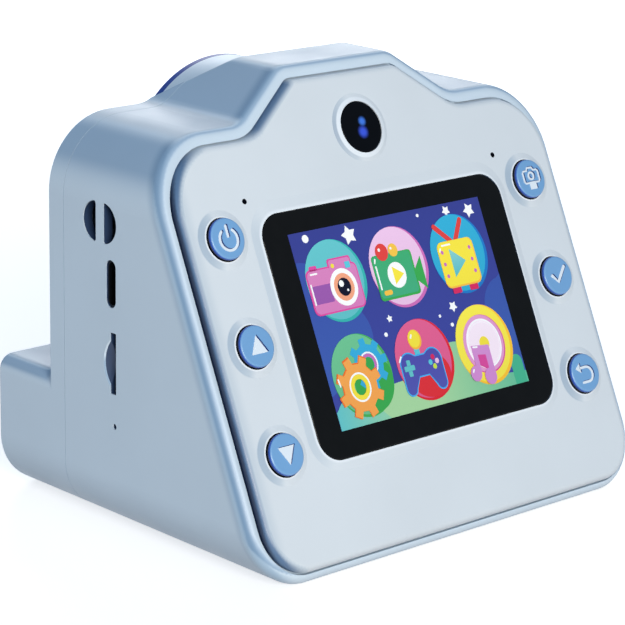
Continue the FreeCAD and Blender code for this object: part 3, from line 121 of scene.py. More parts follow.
def tinted(colour, factor):
    return tuple(min(1.0, part * factor) for part in colour[:3]) + (1.0,)


class Shader:
    """One material, with short calls for the nodes that it is made of."""

    def __init__(self, name, colour, roughness, metallic=0.0):
        self.material = bpy.data.materials.new(name)
        self.material.use_nodes = True
        self.tree = self.material.node_tree
        self.surface = self.tree.nodes["Principled BSDF"]
        self.set(self.surface, "Base Color", colour)
        self.set(self.surface, "Roughness", roughness)
        self.set(self.surface, "Metallic", metallic)
        self.place = self.add("ShaderNodeTexCoord").outputs["Object"]

    def set(self, node, socket, value):
        if isinstance(value, bpy.types.NodeSocket):
            self.tree.links.new(value, node.inputs[socket])
        else:
            node.inputs[socket].default_value = value

    def add(self, kind, inputs=None, **settings):
        node = self.tree.nodes.new(kind)
        for key, value in settings.items():
            setattr(node, key, value)
        for socket, value in (inputs or {}).items():
            self.set(node, socket, value)
        return node

    def math(self, operation, first, second=0.0):
        node = self.add("ShaderNodeMath", {0: first, 1: second}, operation=operation)
        return node.outputs["Value"]

    def times(self, first, second):
        return self.math("MULTIPLY", first, second)

    def vector(self, operation, first, second=(0, 0, 0)):
        """A vector sum, which gives a number for a product, a length or a distance."""
        node = self.add("ShaderNodeVectorMath", {0: first, 1: second}, operation=operation)
        return node.outputs["Value" if operation in SCALAR_RESULTS else "Vector"]

    def noise(self, size, detail=2.0, stretch=(1, 1, 1)):
        """Smooth noise between 0 and 1 whose lumps are about size across."""
        place = self.place
        if stretch != (1, 1, 1):
            place = self.vector("MULTIPLY", place, stretch)
        sockets = {"Vector": place, "Scale": 1 / size, "Detail": detail}
        return self.add("ShaderNodeTexNoise", sockets).outputs["Fac"]

    def mix(self, amount, first, second):
        node = self.add("ShaderNodeMix", {0: amount, 6: first, 7: second}, data_type="RGBA")
        return node.outputs[2]

    def spread(self, value, low, high, start=0.0, end=1.0):
        """low at start and high at end, with an even change between them."""
        sockets = {"Value": value, "From Min": start, "From Max": end,
                   "To Min": low, "To Max": high}
        return self.add("ShaderNodeMapRange", sockets).outputs["Result"]

    def step(self, value, start, end):
        """0 below start and 1 above end, with an eased change between them."""
        sockets = {"Value": value, "From Min": start, "From Max": end}
        node = self.add("ShaderNodeMapRange", sockets, interpolation_type="SMOOTHSTEP")
        return node.outputs["Result"]

    def facing(self, way):
        """How far the surface turns towards a direction: 1 where it faces that way."""
        normal = self.add("ShaderNodeTexCoord").outputs["Normal"]
        return self.vector("DOT_PRODUCT", normal, way)

    def along(self, way, spot):
        """Distance from a spot along a direction."""
        return self.vector("DOT_PRODUCT", self.vector("SUBTRACT", self.place, spot), way)

    def off_axis(self, way, spot):
        """Distance from the line through a spot along a direction."""
        offset = self.vector("SUBTRACT", self.place, spot)
        return self.vector("LENGTH", self.vector("CROSS_PRODUCT", offset, way))

    def inside(self, low, high):
        """1 inside a box and 0 outside it."""
        parts = self.add("ShaderNodeSeparateXYZ", {0: self.place}).outputs
        result = 1.0
        for part, start, end in zip(parts, low, high):
            result = self.times(result, self.math("GREATER_THAN", part, start))
            result = self.times(result, self.math("LESS_THAN", part, end))
        return result

    def bump(self, height, depth):
        node = self.add("ShaderNodeBump", {"Height": height, "Distance": depth, "Strength": 1.0})
        self.set(self.surface, "Normal", node.outputs["Normal"])

    def mottle(self, colour, amount, size):
        """Colour that drifts a little lighter and darker over the piece."""
        drift = self.spread(self.noise(size, 3.0), 0.0, 1.0, *NOISE_RANGE)
        return self.mix(drift, tinted(colour, 1 - amount), tinted(colour, 1 + amount))

    def polish(self, coat, coat_roughness):
        self.set(self.surface, "Coat Weight", coat)
        self.set(self.surface, "Coat Roughness", coat_roughness)


FINE_GLOSS = 0.03
BROAD_GLOSS = 0.04


def moulded(name, colour, roughness, grain=0.25 * MM, depth=0.004 * MM, coat=0.0, shade=None):
    """Moulded plastic: spark-eroded texture, uneven gloss and a slight drift of colour.

    shade(shader, tone) may return a tone that changes over the part, with painted shade and painted
    highlights.
    """
    shader = Shader(name, colour, roughness)
    fine = shader.noise(grain, detail=2.0)
    broad = shader.noise(9 * MM, detail=4.0)
    tone = shader.mottle(colour, 0.02, 22 * MM)
    if shade:
        tone = shade(shader, tone)
    shader.set(shader.surface, "Base Color", tone)
    gloss = shader.spread(fine, -FINE_GLOSS, FINE_GLOSS, *NOISE_RANGE)
    gloss = shader.math("ADD", gloss, roughness)
    uneven = shader.spread(broad, -BROAD_GLOSS, BROAD_GLOSS, *NOISE_RANGE)
    shader.set(shader.surface, "Roughness", shader.math("ADD", gloss, uneven))
    shader.bump(fine, depth)
    if coat:
        shader.polish(coat, 0.12)
    return shader.material


def black_gloss(name, colour, spots=()):
    """A polished black window with faint smudges, and soft blue glints of a lens coating painted
    into its colour.
    """
    shader = Shader(name, colour, 0.06)
    smudge = shader.noise(5 * MM, 5.0, (1.0, 1.0, 2.5))
    shader.set(shader.surface, "Roughness", shader.spread(smudge, 0.08, 0.16, 0.45, 0.75))
    shader.set(shader.surface, "Specular IOR Level", 0.12)
    tone = shader.mottle(colour, 0.08, 3 * MM)
    # Each spot is a painted glint: a soft patch of its tone mixed into the window's colour.
    for place, size, glint in spots:
        sockets = {"Value": shader.vector("DISTANCE", shader.place, place),
                   "From Min": 0.25 * size, "From Max": size, "To Min": 1.0, "To Max": 0.0}
        glow = shader.add("ShaderNodeMapRange", sockets, interpolation_type="SMOOTHSTEP")
        tone = shader.mix(glow.outputs["Result"], tone, glint)
    shader.set(shader.surface, "Base Color", tone)
    return shader.material


def clear(name, tint):
    """A clear polished window with a few faint smudges."""
    shader = Shader(name, tint, 0.02)
    smudge = shader.noise(6 * MM, 5.0)
    shader.set(shader.surface, "Roughness", shader.spread(smudge, 0.0, 0.03, 0.5, 0.8))
    shader.set(shader.surface, "Transmission Weight", 1.0)
    shader.set(shader.surface, "IOR", 1.2)
    return shader.material


def metal(name, colour, roughness, stretch=(1, 1, 1), grain=0.3 * MM):
    """Rolled, plated or turned metal with a grain along one way."""
    shader = Shader(name, colour, roughness, 1.0)
    lines = shader.noise(grain, 3.0, stretch)
    shader.set(shader.surface, "Base Color", shader.mottle(colour, 0.06, 7 * MM))
    gloss = shader.spread(lines, roughness - 0.08, roughness + 0.12, *NOISE_RANGE)
    shader.set(shader.surface, "Roughness", gloss)
    shader.bump(lines, 0.006 * MM)
    return shader.material


def foil(name, colour):
    """A battery pouch: crumpled aluminium film."""
    shader = Shader(name, colour, 0.34, 0.85)
    folds = shader.noise(4.5 * MM, 4.0, (1.0, 0.6, 0.6))
    shader.set(shader.surface, "Base Color", shader.mottle(colour, 0.05, 12 * MM))
    shader.set(shader.surface, "Roughness", shader.spread(folds, 0.26, 0.42, 0.35, 0.65))
    shader.bump(folds, 0.25 * MM)
    return shader.material


BOARD_PITCH = 1.6 * MM
HOLE_PLATING = srgb(206, 186, 120)


def circuit(name, colour, track):
    """Solder mask with the tracks and plated holes that show through it."""
    shader = Shader(name, colour, 0.32)
    sockets = {"Vector": shader.place, "Scale": 1 / (2.2 * BOARD_PITCH)}
    cells = shader.add("ShaderNodeTexVoronoi", sockets, distance="MANHATTAN",
                       feature="DISTANCE_TO_EDGE")
    lines = shader.spread(cells.outputs["Distance"], 1.0, 0.0, 0.05, 0.09)
    sockets = {"Vector": shader.place, "Scale": 1 / BOARD_PITCH}
    dots = shader.add("ShaderNodeTexVoronoi", sockets)
    holes = shader.spread(dots.outputs["Distance"], 1.0, 0.0, 0.12, 0.16)
    tone = shader.mix(lines, shader.mottle(colour, 0.1, 8 * MM), track)
    shader.set(shader.surface, "Base Color", shader.mix(holes, tone, HOLE_PLATING))
    shader.bump(shader.math("MAXIMUM", lines, holes), 0.03 * MM)
    shader.polish(0.4, 0.15)
    return shader.material


def striped(name, colour, line, pitch):
    """A flat ribbon with parallel conductors."""
    shader = Shader(name, colour, 0.35)
    sockets = {"Vector": shader.place, "Scale": 1 / (20 * pitch) * 3.14159, "Distortion": 0.0}
    wave = shader.add("ShaderNodeTexWave", sockets, bands_direction="X")
    bars = shader.spread(wave.outputs["Fac"], 0.0, 1.0, 0.45, 0.6)
    shader.set(shader.surface, "Base Color", shader.mix(bars, colour, line))
    shader.bump(bars, 0.02 * MM)
    return shader.material


def wound(name, colour, dark, axis_node, pitch):
    """Wound sheet: turns about the node's long axis show on its ends, fibres on its side."""
    shader = Shader(name, colour, 0.8)
    offset = shader.vector("SUBTRACT", shader.place, middle(axis_node))
    radius = shader.vector("LENGTH", shader.vector("MULTIPLY", offset, (0, 1, 1)))
    turns = shader.math("PINGPONG", radius, 0.5 * pitch)
    turns = shader.spread(turns, 0.0, 1.0, 0.0, 0.5 * pitch)
    fibre = shader.noise(0.4 * MM, 4.0, (0.5, 1, 1))
    height = shader.math("ADD", turns, shader.times(fibre, 0.5))
    tone = shader.mix(shader.spread(height, 0.0, 1.0, 0.2, 1.0), dark, colour)
    shader.set(shader.surface, "Base Color", tone)
    shader.bump(height, 0.02 * MM)
    return shader.material


PIXEL = 0.153 * MM
PIXEL_GAP = (0.81, 0.74)
PICTURE_GLOW = 0.16
INK_FADE = 1.12


def printed(name, colour, other=None, way=(0.0, 1.0), centre=(0.0, 0.0), reach=8.0):
    """Ink of the screen's picture under a glossy cover, fading from colour to other along way."""
    shader = Shader(name, colour, 0.3)
    other = other or tinted(colour, INK_FADE)
    lean = shader.vector("DOT_PRODUCT", shader.place, (way[0], way[1], 0.0))
    start = (centre[0] * way[0] + centre[1] * way[1] - reach) * MM
    fade = shader.spread(lean, 0.0, 1.0, start, start + 2 * reach * MM)
    sockets = {"Vector": shader.place, "Scale": 1 / PIXEL, "Randomness": 0.0}
    dots = shader.add("ShaderNodeTexVoronoi", sockets, distance="CHEBYCHEV")
    grid = shader.spread(dots.outputs["Distance"], *PIXEL_GAP, 0.4, 0.5)
    sockets = {0: shader.mix(fade, colour, other), "Scale": grid}
    tone = shader.add("ShaderNodeVectorMath", sockets, operation="SCALE").outputs["Vector"]
    shader.set(shader.surface, "Base Color", tone)
    shader.set(shader.surface, "Emission Color", tone)
    shader.set(shader.surface, "Emission Strength", PICTURE_GLOW)
    shader.set(shader.surface, "Specular IOR Level", 0.2)
    return shader.material


# ---------------------------------------------------------------- materials of the sub-parts

# The case's blue is deeper than the panel's: partly the plastics' own colours, partly painted shade
# for the case's sides.
CASE_BLUE = (0.61, 0.715, 0.81, 1.0)
PANEL_BLUE = (0.615, 0.665, 0.71, 1.0)
CAP_BLUE = srgb(110, 157, 203)
# The next five are tones of painted shade: a button's rounded edge, gaps and holes, the walls of
# the side's openings, and the panel's left-facing edges.
CAP_EDGE_SHADE = srgb(34, 74, 168)
GAP_SHADE = srgb(6, 9, 24)
WALL_SHADE = srgb(40, 58, 88)
DEEP_EDGE_SHADE = srgb(24, 38, 66)
MID_EDGE_SHADE = srgb(72, 104, 140)
RING_BLUE = srgb(24, 62, 150)
GLASS_BLACK = srgb(17, 17, 17)
NEAR_BLACK = srgb(26, 27, 30)
# The next two are painted: shade on the panel's slopes and border, and a highlight on its crests.
SLOPE_SHADE = (0.30, 0.40, 0.50, 1.0)
CREST_HIGHLIGHT = (0.76, 0.81, 0.86, 1.0)
STEEL = srgb(176, 178, 182)
ZINC = srgb(160, 163, 168)

# What the case's tone is multiplied by for its painted shade: on its ridges, left of its
# slanted rim, on its roof and on the rim itself.
RIDGE_SHADE = (0.51, 0.60, 0.70)
BAND_SHADE = (0.60, 0.69, 0.77)
ROOF_SHADE = (0.60, 0.64, 0.68)
RIM_SHADE = (0.72, 0.74, 0.76)
# Where a painted shade starts and is full: how far the surface leans or turns towards a
# direction, or the depth below the rim's face.
RIDGE_LEAN = (0.0, 0.17)
NOT_UNDER = (-0.15, 0.0)
BAND_START = (0.1 * MM, 0.9 * MM)
BAND_END = (3.8 * MM, 1.2 * MM)
BAND_LEFT = (0.2, 0.6)
ROOF_UP = (0.92, 0.985)
RIM_OUT = (0.9, 0.99)
# The rim's share of its painted shade, and the heights below the panel's top between which it
# grows.
RIM_SHARE = (0.35, 1.0)
RIM_HEIGHT = (-5 * MM, -30 * MM)
# The painted shade on the walls of the left side's openings: in from the side, across from the
# charging port, and how far above the case's foot and above the port.
WALL_IN = (0.25 * MM, 4 * MM)
WALL_ACROSS = (-5 * MM, 9 * MM)
WALL_UP = 15 * MM

CAPS = ("power_button", "up_button", "down_button", "shutter_button", "ok_button", "back_button")
# What stands in each hole of the panel, and the hole's radius in millimetres.
HOLES = [("microphone", 0.52), ("status_led", 0.52)] + [(cap, 4.07) for cap in CAPS]
# The slope about a button's hole, which has no painted highlight and a painted shade on its left,
# in
# millimetres beyond the hole: its outer and inner edge.
COLLAR_END = (1.7, 1.4)
COLLAR_START = (0.15, 0.35)
COLLAR_LEFT = (0.5 * MM, 4.5 * MM)
COLLAR_SHARE = 0.45
HOLE_BLUR = 0.02
# Painted shade on the panel's left border and a painted highlight on its crests: where they start
# and are full, and shares.
PANEL_BORDER = (3.8 * MM, 1.2 * MM)
BORDER_SHARE = 0.3
CREST_HEIGHT = (-0.09 * MM, -0.01 * MM)
CREST_SHARE = 0.8
# Shades of the panel's left-facing edges: how far they turn left, the share of the shade, its tone.
LEFT_SHADES = ((0.05, 0.16, 0.36, SLOPE_SHADE), (0.1, 0.6, 0.95, MID_EDGE_SHADE),
               (0.7, 0.98, 0.97, DEEP_EDGE_SHADE))
# Shades down a button's side: depths in millimetres where they start and are full, and tone.
CAP_SHADES = ((0.08, 0.3, CAP_EDGE_SHADE), (0.35, 0.8, GAP_SHADE))
# Painted glints of the small camera's lens: place from its middle and size in millimetres, and
# tone.
PAINTED_GLINTS = ((0.5, 1.0, 1.15, srgb(64, 116, 214)), (0.1, -1.0, 1.5, srgb(58, 84, 208)))


def painted_lens_glints():
    """Two soft blue reflections of the small camera's coated lens, painted into the window's
    colour.
    """
    centre = face_top("rear_lens_window")
    return [(face_spot(centre.x + u * MM, centre.y + v * MM, centre.z), size * MM, tone)
            for u, v, size, tone in PAINTED_GLINTS]


def case_painted_shade(shader, tone):
    """The case's tone with painted shade on ridges, left of the slanted rim, on the roof and on the
    rim.
    """
    rising = shader.facing((0, 0, 1))
    flat = shader.math("ABSOLUTE", shader.facing((1, 0, 0)))
    for way in ((0, 0, 1), (0, 1, 0), FACE_N):
        flat = shader.math("MAXIMUM", flat, shader.facing(way))
    ridge = shader.times(shader.step(shader.math("SUBTRACT", 1.0, flat), *RIDGE_LEAN),
                         shader.step(rising, *NOT_UNDER))
    sunk = shader.along(-FACE_N, face_spot(0, 0, face_top("main_housing").z))
    band = shader.times(shader.step(sunk, *BAND_START), shader.step(sunk, *BAND_END))
    band = shader.times(band, shader.step(shader.facing((-1, 0, 0)), *BAND_LEFT))
    roof = shader.step(rising, *ROOF_UP)
    height = shader.along((0, 0, 1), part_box("rear_panel")[1])
    rim = shader.times(shader.step(shader.facing(FACE_N), *RIM_OUT),
                       shader.spread(height, *RIM_SHARE, *RIM_HEIGHT))
    # Each mask mixes in a darker copy of the tone: painted shade.
    for share, tint in ((ridge, RIDGE_SHADE), (band, BAND_SHADE), (roof, ROOF_SHADE), (rim, RIM_SHADE)):
        tone = shader.mix(share, tone, shader.vector("MULTIPLY", tone, tint))
    return tone


def housing_painted_shade(shader, tone):
    """The case's tone and its painted shade, with painted shade on the walls inside the openings of
    its left side.
    """
    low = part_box("main_housing")[0]
    port = middle("usb_c_socket")
    start = (low.x + WALL_IN[0], port.y + WALL_ACROSS[0], low.z + WALL_UP)
    end = (low.x + WALL_IN[1], port.y + WALL_ACROSS[1], port.z + WALL_UP)
    # Painted shade on the walls inside the left side's openings.
    return shader.mix(shader.inside(start, end), case_painted_shade(shader, tone), WALL_SHADE)


def panel_painted_light(shader, tone):
    """The panel with painted shade on its left-facing edges, border, collars and in its holes, and
    painted highlights on its crests.
    """
    left = shader.facing((-1, 0, 0))
    inward = shader.along((1, 0, 0), face_spot(face_span("rear_panel")[0].x, 0, 0))
    # Painted shade along the panel's left border and on its left-facing edges.
    border_shade = shader.step(inward, *PANEL_BORDER)
    tone = shader.mix(shader.times(border_shade, BORDER_SHARE), tone, SLOPE_SHADE)
    for start, end, share, dark in LEFT_SHADES:
        tone = shader.mix(shader.times(shader.step(left, start, end), share), tone, dark)
    # Painted highlight on the crests, at the height of the screen's cover.
    height = shader.along(FACE_N, face_spot(0, 0, face_top("display_glass").z))
    crest_highlight = shader.step(height, *CREST_HEIGHT)
    for name, gap in HOLES:
        spot = face_spot(*face_top(name))
        reach = shader.off_axis(FACE_N, spot)
        if name in CAPS:
            outer, inner = ([(gap + beyond) * MM for beyond in pair]
                            for pair in (COLLAR_END, COLLAR_START))
            collar = shader.times(shader.step(reach, *outer), shader.step(reach, *inner))
            crest_highlight = shader.times(crest_highlight, shader.math("SUBTRACT", 1.0, collar))
            # Painted shade on the left of each button's collar.
            leftward = shader.step(shader.along((-1, 0, 0), spot), *COLLAR_LEFT)
            shaded = shader.times(shader.times(collar, leftward), COLLAR_SHARE)
            tone = shader.mix(shaded, tone, SLOPE_SHADE)
        # Painted shade in each hole.
        near = shader.step(reach, (gap + HOLE_BLUR) * MM, (gap - HOLE_BLUR) * MM)
        tone = shader.mix(near, tone, GAP_SHADE)
    return shader.mix(shader.times(crest_highlight, CREST_SHARE), tone, CREST_HIGHLIGHT)


def cap_painted_shade(shader, tone):
    """A button: pale on top, with painted shade that is saturated at its rounded edge and nearly
    black down its side.
    """
    sunk = shader.along(-FACE_N, face_spot(0, 0, face_top("power_button").z))
    # Painted shade down the button's side.
    for start, end, dark in CAP_SHADES:
        tone = shader.mix(shader.step(sunk, start * MM, end * MM), tone, dark)
    return tone


def dress(material, *names):
    for name in names:
        nodes[name].material_slots[0].material = material


def dress_case():
    """What shows from outside."""
    dress(moulded("housing_plastic", CASE_BLUE, 0.42, shade=housing_painted_shade), "main_housing")
    dress(moulded("shell_plastic", CASE_BLUE, 0.42, shade=case_painted_shade), "front_shell", "paper_door")
    dress(moulded("barrel_plastic", CASE_BLUE, 0.38, grain=0.3 * MM), "lens_barrel")
    dress(moulded("panel_plastic", PANEL_BLUE, 0.40, shade=panel_painted_light), "rear_panel")
    dress(moulded("cap_plastic", CAP_BLUE, 0.34, grain=0.35 * MM, depth=0.003 * MM,
                  shade=cap_painted_shade), *CAPS)
    dress(moulded("ring_plastic", RING_BLUE, 0.45, depth=0.003 * MM), "lens_ring")
    dress(black_gloss("screen_cover", GLASS_BLACK), "display_glass")
    dress(black_gloss("small_window", srgb(6, 6, 9), painted_lens_glints()), "rear_lens_window")
    dress(clear("clear_window", srgb(236, 242, 246)), "lens_window")
    dress(black_gloss("front_lens_glass", srgb(14, 18, 40)), "front_camera_lens")
    dress(moulded("baffle_plastic", srgb(12, 12, 15), 0.55, grain=0.6 * MM, depth=0.001 * MM),
          "lens_baffle", "front_camera")


def dress_inside():
    """Boards, battery, printer and the other parts inside the case."""
    dress(moulded("black_plastic", NEAR_BLACK, 0.5),
          "rear_camera", "card_socket", "reset_switch", "microphone")
    dress(moulded("speaker_cone", srgb(34, 35, 38), 0.6, grain=0.5 * MM, depth=0.02 * MM),
          "speaker")
    dress(moulded("switch_plastic", srgb(40, 41, 44), 0.42), "tact_switches")
    dress(moulded("white_plastic", srgb(226, 226, 220), 0.45), "reset_plunger", "paper_tray")
    dress(moulded("acetal", srgb(236, 235, 228), 0.36, depth=0.002 * MM),
          "platen_gear", "idler_gear", "motor_pinion")
    dress(black_gloss("display_stack", srgb(16, 17, 22)), "lcd_module")
    dress(metal("stamped_steel", STEEL, 0.34, (0.08, 1, 1)),
          "display_bracket", "printer_frame", "head_spring")
    dress(metal("turned_steel", STEEL, 0.26, (0.5, 1, 1), 0.15 * MM),
          "platen_shaft", "door_hinge_pins", "stepper_motor")
    dress(metal("dark_steel", srgb(58, 62, 70), 0.34, (0.3, 1, 1), 0.15 * MM), "usb_c_socket")
    dress(metal("zinc_plate", ZINC, 0.3, grain=0.2 * MM),
          "board_screws", "bracket_screws", "front_screws", "floor_screws")
    dress(metal("pressed_aluminium", srgb(196, 199, 204), 0.38, (0.06, 1, 1)), "head_heatsink")
    dress(foil("battery_film", srgb(196, 198, 204)), "battery")
    dress(striped("ribbon", srgb(172, 104, 30), srgb(206, 140, 62), 0.5 * MM), "lcd_flex")
    dress(circuit("board_mask", srgb(14, 92, 52), srgb(26, 120, 70)),
          "left_button_board", "right_button_board", "main_board", "front_camera_board")
    dress(moulded("led_epoxy", srgb(196, 232, 196), 0.15, depth=0.001 * MM, coat=0.8),
          "status_led")
    dress(moulded("silicone", srgb(44, 44, 46), 0.72, grain=0.12 * MM, depth=0.01 * MM),
          "platen_rubber")
    dress(moulded("glazed_ceramic", srgb(214, 208, 190), 0.22, coat=0.5), "print_head")
    dress(wound("thermal_paper", srgb(244, 243, 238), srgb(206, 205, 198), "paper_roll",
                0.24 * MM), "paper_roll")
    dress(wound("core_card", srgb(186, 158, 118), srgb(146, 120, 86), "roll_core", 0.5 * MM),
          "roll_core")


# ---------------------------------------------------------------- flat outlines, in millimetres

ROUND_STEPS = 6
STAR_WAIST = 0.55
# Corners of a cog: share of a tooth's step, and share of the radius.
COG = ((-0.27, 0.76), (-0.2, 1.0), (0.2, 1.0), (0.27, 0.76))


def polar(x, y, reach, angle):
    return (x + reach * math.cos(angle), y + reach * math.sin(angle))


def turned(x, y, u, v, turn):
    """The spot (u, v) about (x, y), turned."""
    return (x + u * math.cos(turn) - v * math.sin(turn),
            y + u * math.sin(turn) + v * math.cos(turn))


def ellipse(x, y, across, up, turn=0.0, count=56):
    angles = [2 * math.pi * index / count for index in range(count)]
    return [turned(x, y, across * math.cos(a), up * math.sin(a), turn) for a in angles]


def disc(x, y, radius, count=56):
    return ellipse(x, y, radius, radius, 0.0, count)


def tile(x, y, wide, tall, rounding, turn=0.0):
    """A rounded rectangle about (x, y)."""
    spots = []
    for corner, (sx, sy) in enumerate(((1, 1), (-1, 1), (-1, -1), (1, -1))):
        cx = sx * (wide / 2 - rounding)
        cy = sy * (tall / 2 - rounding)
        for step in range(ROUND_STEPS + 1):
            angle = (corner + step / ROUND_STEPS) * math.pi / 2
            spots.append(turned(x, y, *polar(cx, cy, rounding, angle), turn))
    return spots


def star(x, y, radius, turn=0.2):
    reaches = [radius, STAR_WAIST * radius] * 5
    return [polar(x, y, reach, turn + math.pi / 2 + index * math.pi / 5)
            for index, reach in enumerate(reaches)]


def gear(x, y, radius, teeth, turn=0.0):
    """A cog wheel's outline with square teeth."""
    step = 2 * math.pi / teeth
    return [polar(x, y, radius * reach, turn + (index + share) * step)
            for index in range(teeth) for share, reach in COG]


def stroke(path, width):
    """A band of even width along a path, with round ends."""
    left = []
    right = []
    for index, (x, y) in enumerate(path):
        x0, y0 = path[max(index - 1, 0)]
        x1, y1 = path[min(index + 1, len(path) - 1)]
        length = math.hypot(x1 - x0, y1 - y0)
        nx = -(y1 - y0) / length * width / 2
        ny = (x1 - x0) / length * width / 2
        left.append((x + nx, y + ny))
        right.append((x - nx, y - ny))

    def cap(end, before):
        heading = math.atan2(end[1] - before[1], end[0] - before[0])
        turns = [heading + math.pi / 2 - math.pi * step / ROUND_STEPS
                 for step in range(1, ROUND_STEPS)]
        return [polar(*end, width / 2, turn) for turn in turns]

    return left + cap(path[-1], path[-2]) + right[::-1] + cap(path[0], path[1])


def bow(x, y, radius, start, end, count=24):
    """Points along an arc, with angles in degrees."""
    angles = [math.radians(start + (end - start) * index / count) for index in range(count + 1)]
    return [polar(x, y, radius, angle) for angle in angles]


# ---------------------------------------------------------------- thin closed pieces

WELD = 0.0005 * MM


def prism(outlines, low, high, rounding):
    """A closed mesh of the area that the outlines bound, between two heights."""
    curve = bpy.data.curves.new("outline", "CURVE")
    curve.dimensions = "2D"
    curve.fill_mode = "BOTH"
    curve.extrude = (high - low) / 2 * MM - rounding * MM
    curve.bevel_depth = rounding * MM
    curve.bevel_resolution = 2
    curve.offset = -rounding * MM
    for outline in outlines:
        spline = curve.splines.new("POLY")
        spline.points.add(len(outline) - 1)
        for point, (x, y) in zip(spline.points, outline):
            point.co = (x * MM, y * MM, 0.0, 1.0)
        spline.use_cyclic_u = True
    holder = bpy.data.objects.new("outline", curve)
    mesh = bpy.data.meshes.new_from_object(holder)
    mesh.transform(Matrix.Translation((0, 0, (low + high) / 2 * MM)))
    bpy.data.objects.remove(holder)
    bpy.data.curves.remove(curve)
    return mesh


def piece(name, layers, place, body):
    """One named object made of thin layers: (material, low, high, outlines, rounding) each."""
    mesh = bpy.data.meshes.new(name)
    build = bmesh.new()
    for material, low, high, outlines, rounding in layers:
        if material.name not in mesh.materials:
            mesh.materials.append(material)
        index = list(mesh.materials).index(material)
        part = prism(outlines, low, high, rounding)
        first = len(build.faces)
        build.from_mesh(part)
        build.faces.ensure_lookup_table()
        for face in build.faces[first:]:
            face.material_index = index
            face.smooth = False
        bpy.data.meshes.remove(part)
    bmesh.ops.remove_doubles(build, verts=build.verts, dist=WELD)
    build.to_mesh(mesh)
    build.free()
    item = new_object(name, mesh)
    item.matrix_world = place
    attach(item, body)


# ---------------------------------------------------------------- the picture on the screen

PICTURE_WIDE = 48.96
PICTURE_TALL = 36.72
SHEET = 0.03
SHEET_OVERLAP = 0.02
ICON_RAD = 7.75
ICON_STEP = 15.89
ICON_U = -0.23
ICON_V = (8.4, -9.48)
ICON_SQUEEZE = 0.927
SHINE_TALL = 0.34
SHINE_ROUND = 0.16

inks = {}


def ink(name, colour, other=None, **fade):
    """A new ink of the picture, which later drawings find under its name in inks."""
    inks[name] = printed("ink_" + name, colour, other, **fade)
    return inks[name]


def sheet_layer(material, level, outlines):
    return (material, (level - 1) * SHEET - SHEET_OVERLAP, level * SHEET, outlines, 0.0)


def make_backdrop(place):
    """Night sky with clouds, two green hills and a few stars."""
    half = PICTURE_WIDE / 2
    tall = PICTURE_TALL / 2
    sideways = (1.0, 0.0)
    sky = ink("sky", srgb(62, 72, 158), srgb(58, 66, 146), reach=tall)
    cloud = ink("cloud", srgb(62, 92, 172), srgb(60, 84, 168))
    near = ink("near_hill", srgb(164, 210, 158), srgb(72, 180, 150),
               way=sideways, centre=(14, 0), reach=14)
    far = ink("far_hill", srgb(96, 190, 196), srgb(150, 206, 160),
              way=sideways, centre=(-17, 0), reach=8)
    white = ink("white", srgb(246, 250, 252))
    full = [(-half, -tall), (half, -tall), (half, tall), (-half, tall)]
    left_cloud = [(-half, 13.0)] + bow(-half, 6.0, 7.0, 90, 20) + \
        bow(-17.5, -2.0, 6.5, 60, -60) + [(-half, -12.0)]
    right_cloud = [(half, 3.0)] + bow(half, -3.5, 6.0, 100, 190) + \
        bow(15.0, -9.5, 5.0, 110, 200) + [(half, -17.0)]
    left_hill = [(-half, -tall), (-half, -15.0)] + bow(-19.5, -18.0, 5.6, 140, 20) + \
        [(-12.0, -tall)]
    long_hill = [(-18.0, -tall)] + bow(-7.2, -27.5, 15.2, 138, 66) + \
        bow(7.4, -13.2, 5.7, 152, 20) + [(14.5, -15.5), (half, -16.2), (half, -tall)]
    bush = bow(22.6, -14.2, 1.5, 180, 0) + [(24.1, -tall), (21.1, -tall)]
    top_stars = [star(-10.2, 16.1, 1.9), star(15.3, 16.9, 1.1, 0.5), star(21.2, 16.2, 1.5, 0.4)]
    low_stars = [star(10.4, -1.1, 1.1, 0.6), star(-6.0, -0.6, 0.75, 0.1)]
    dots = [disc(-20.7, 17.0, 0.75), disc(7.8, 17.1, 0.32), disc(6.5, -2.3, 0.3),
            disc(9.0, -4.4, 0.38), disc(-7.9, -3.3, 0.42)]
    layers = [
        sheet_layer(sky, 1, [full]),
        sheet_layer(cloud, 2, [left_cloud, right_cloud]),
        sheet_layer(near, 3, [long_hill]),
        sheet_layer(far, 4, [left_hill]),
        sheet_layer(ink("bush", srgb(70, 176, 140)), 4, [bush]),
        sheet_layer(white, 2, top_stars + dots),
        sheet_layer(white, 3, low_stars),
    ]
    piece("screen_picture", layers, place, "case")


def badge(x, y, face, edge, name):
    """The round base of an icon: a darker rim that shows at the lower right, and a lighter face."""
    rim = ink(name + "_edge", edge, tinted(edge, 1.1), centre=(x, y))
    top = ink(name + "_face", face, centre=(x, y))
    inner = ellipse(x - 0.35, y + 0.25, ICON_RAD - 0.35, ICON_RAD - 0.3)
    return [sheet_layer(rim, 5, [disc(x, y, ICON_RAD)]), sheet_layer(top, 6, [inner])]


def shine(x, y, wide, turn=0.0):
    """A short white highlight."""
    return tile(x, y, wide, SHINE_TALL, SHINE_ROUND, turn)


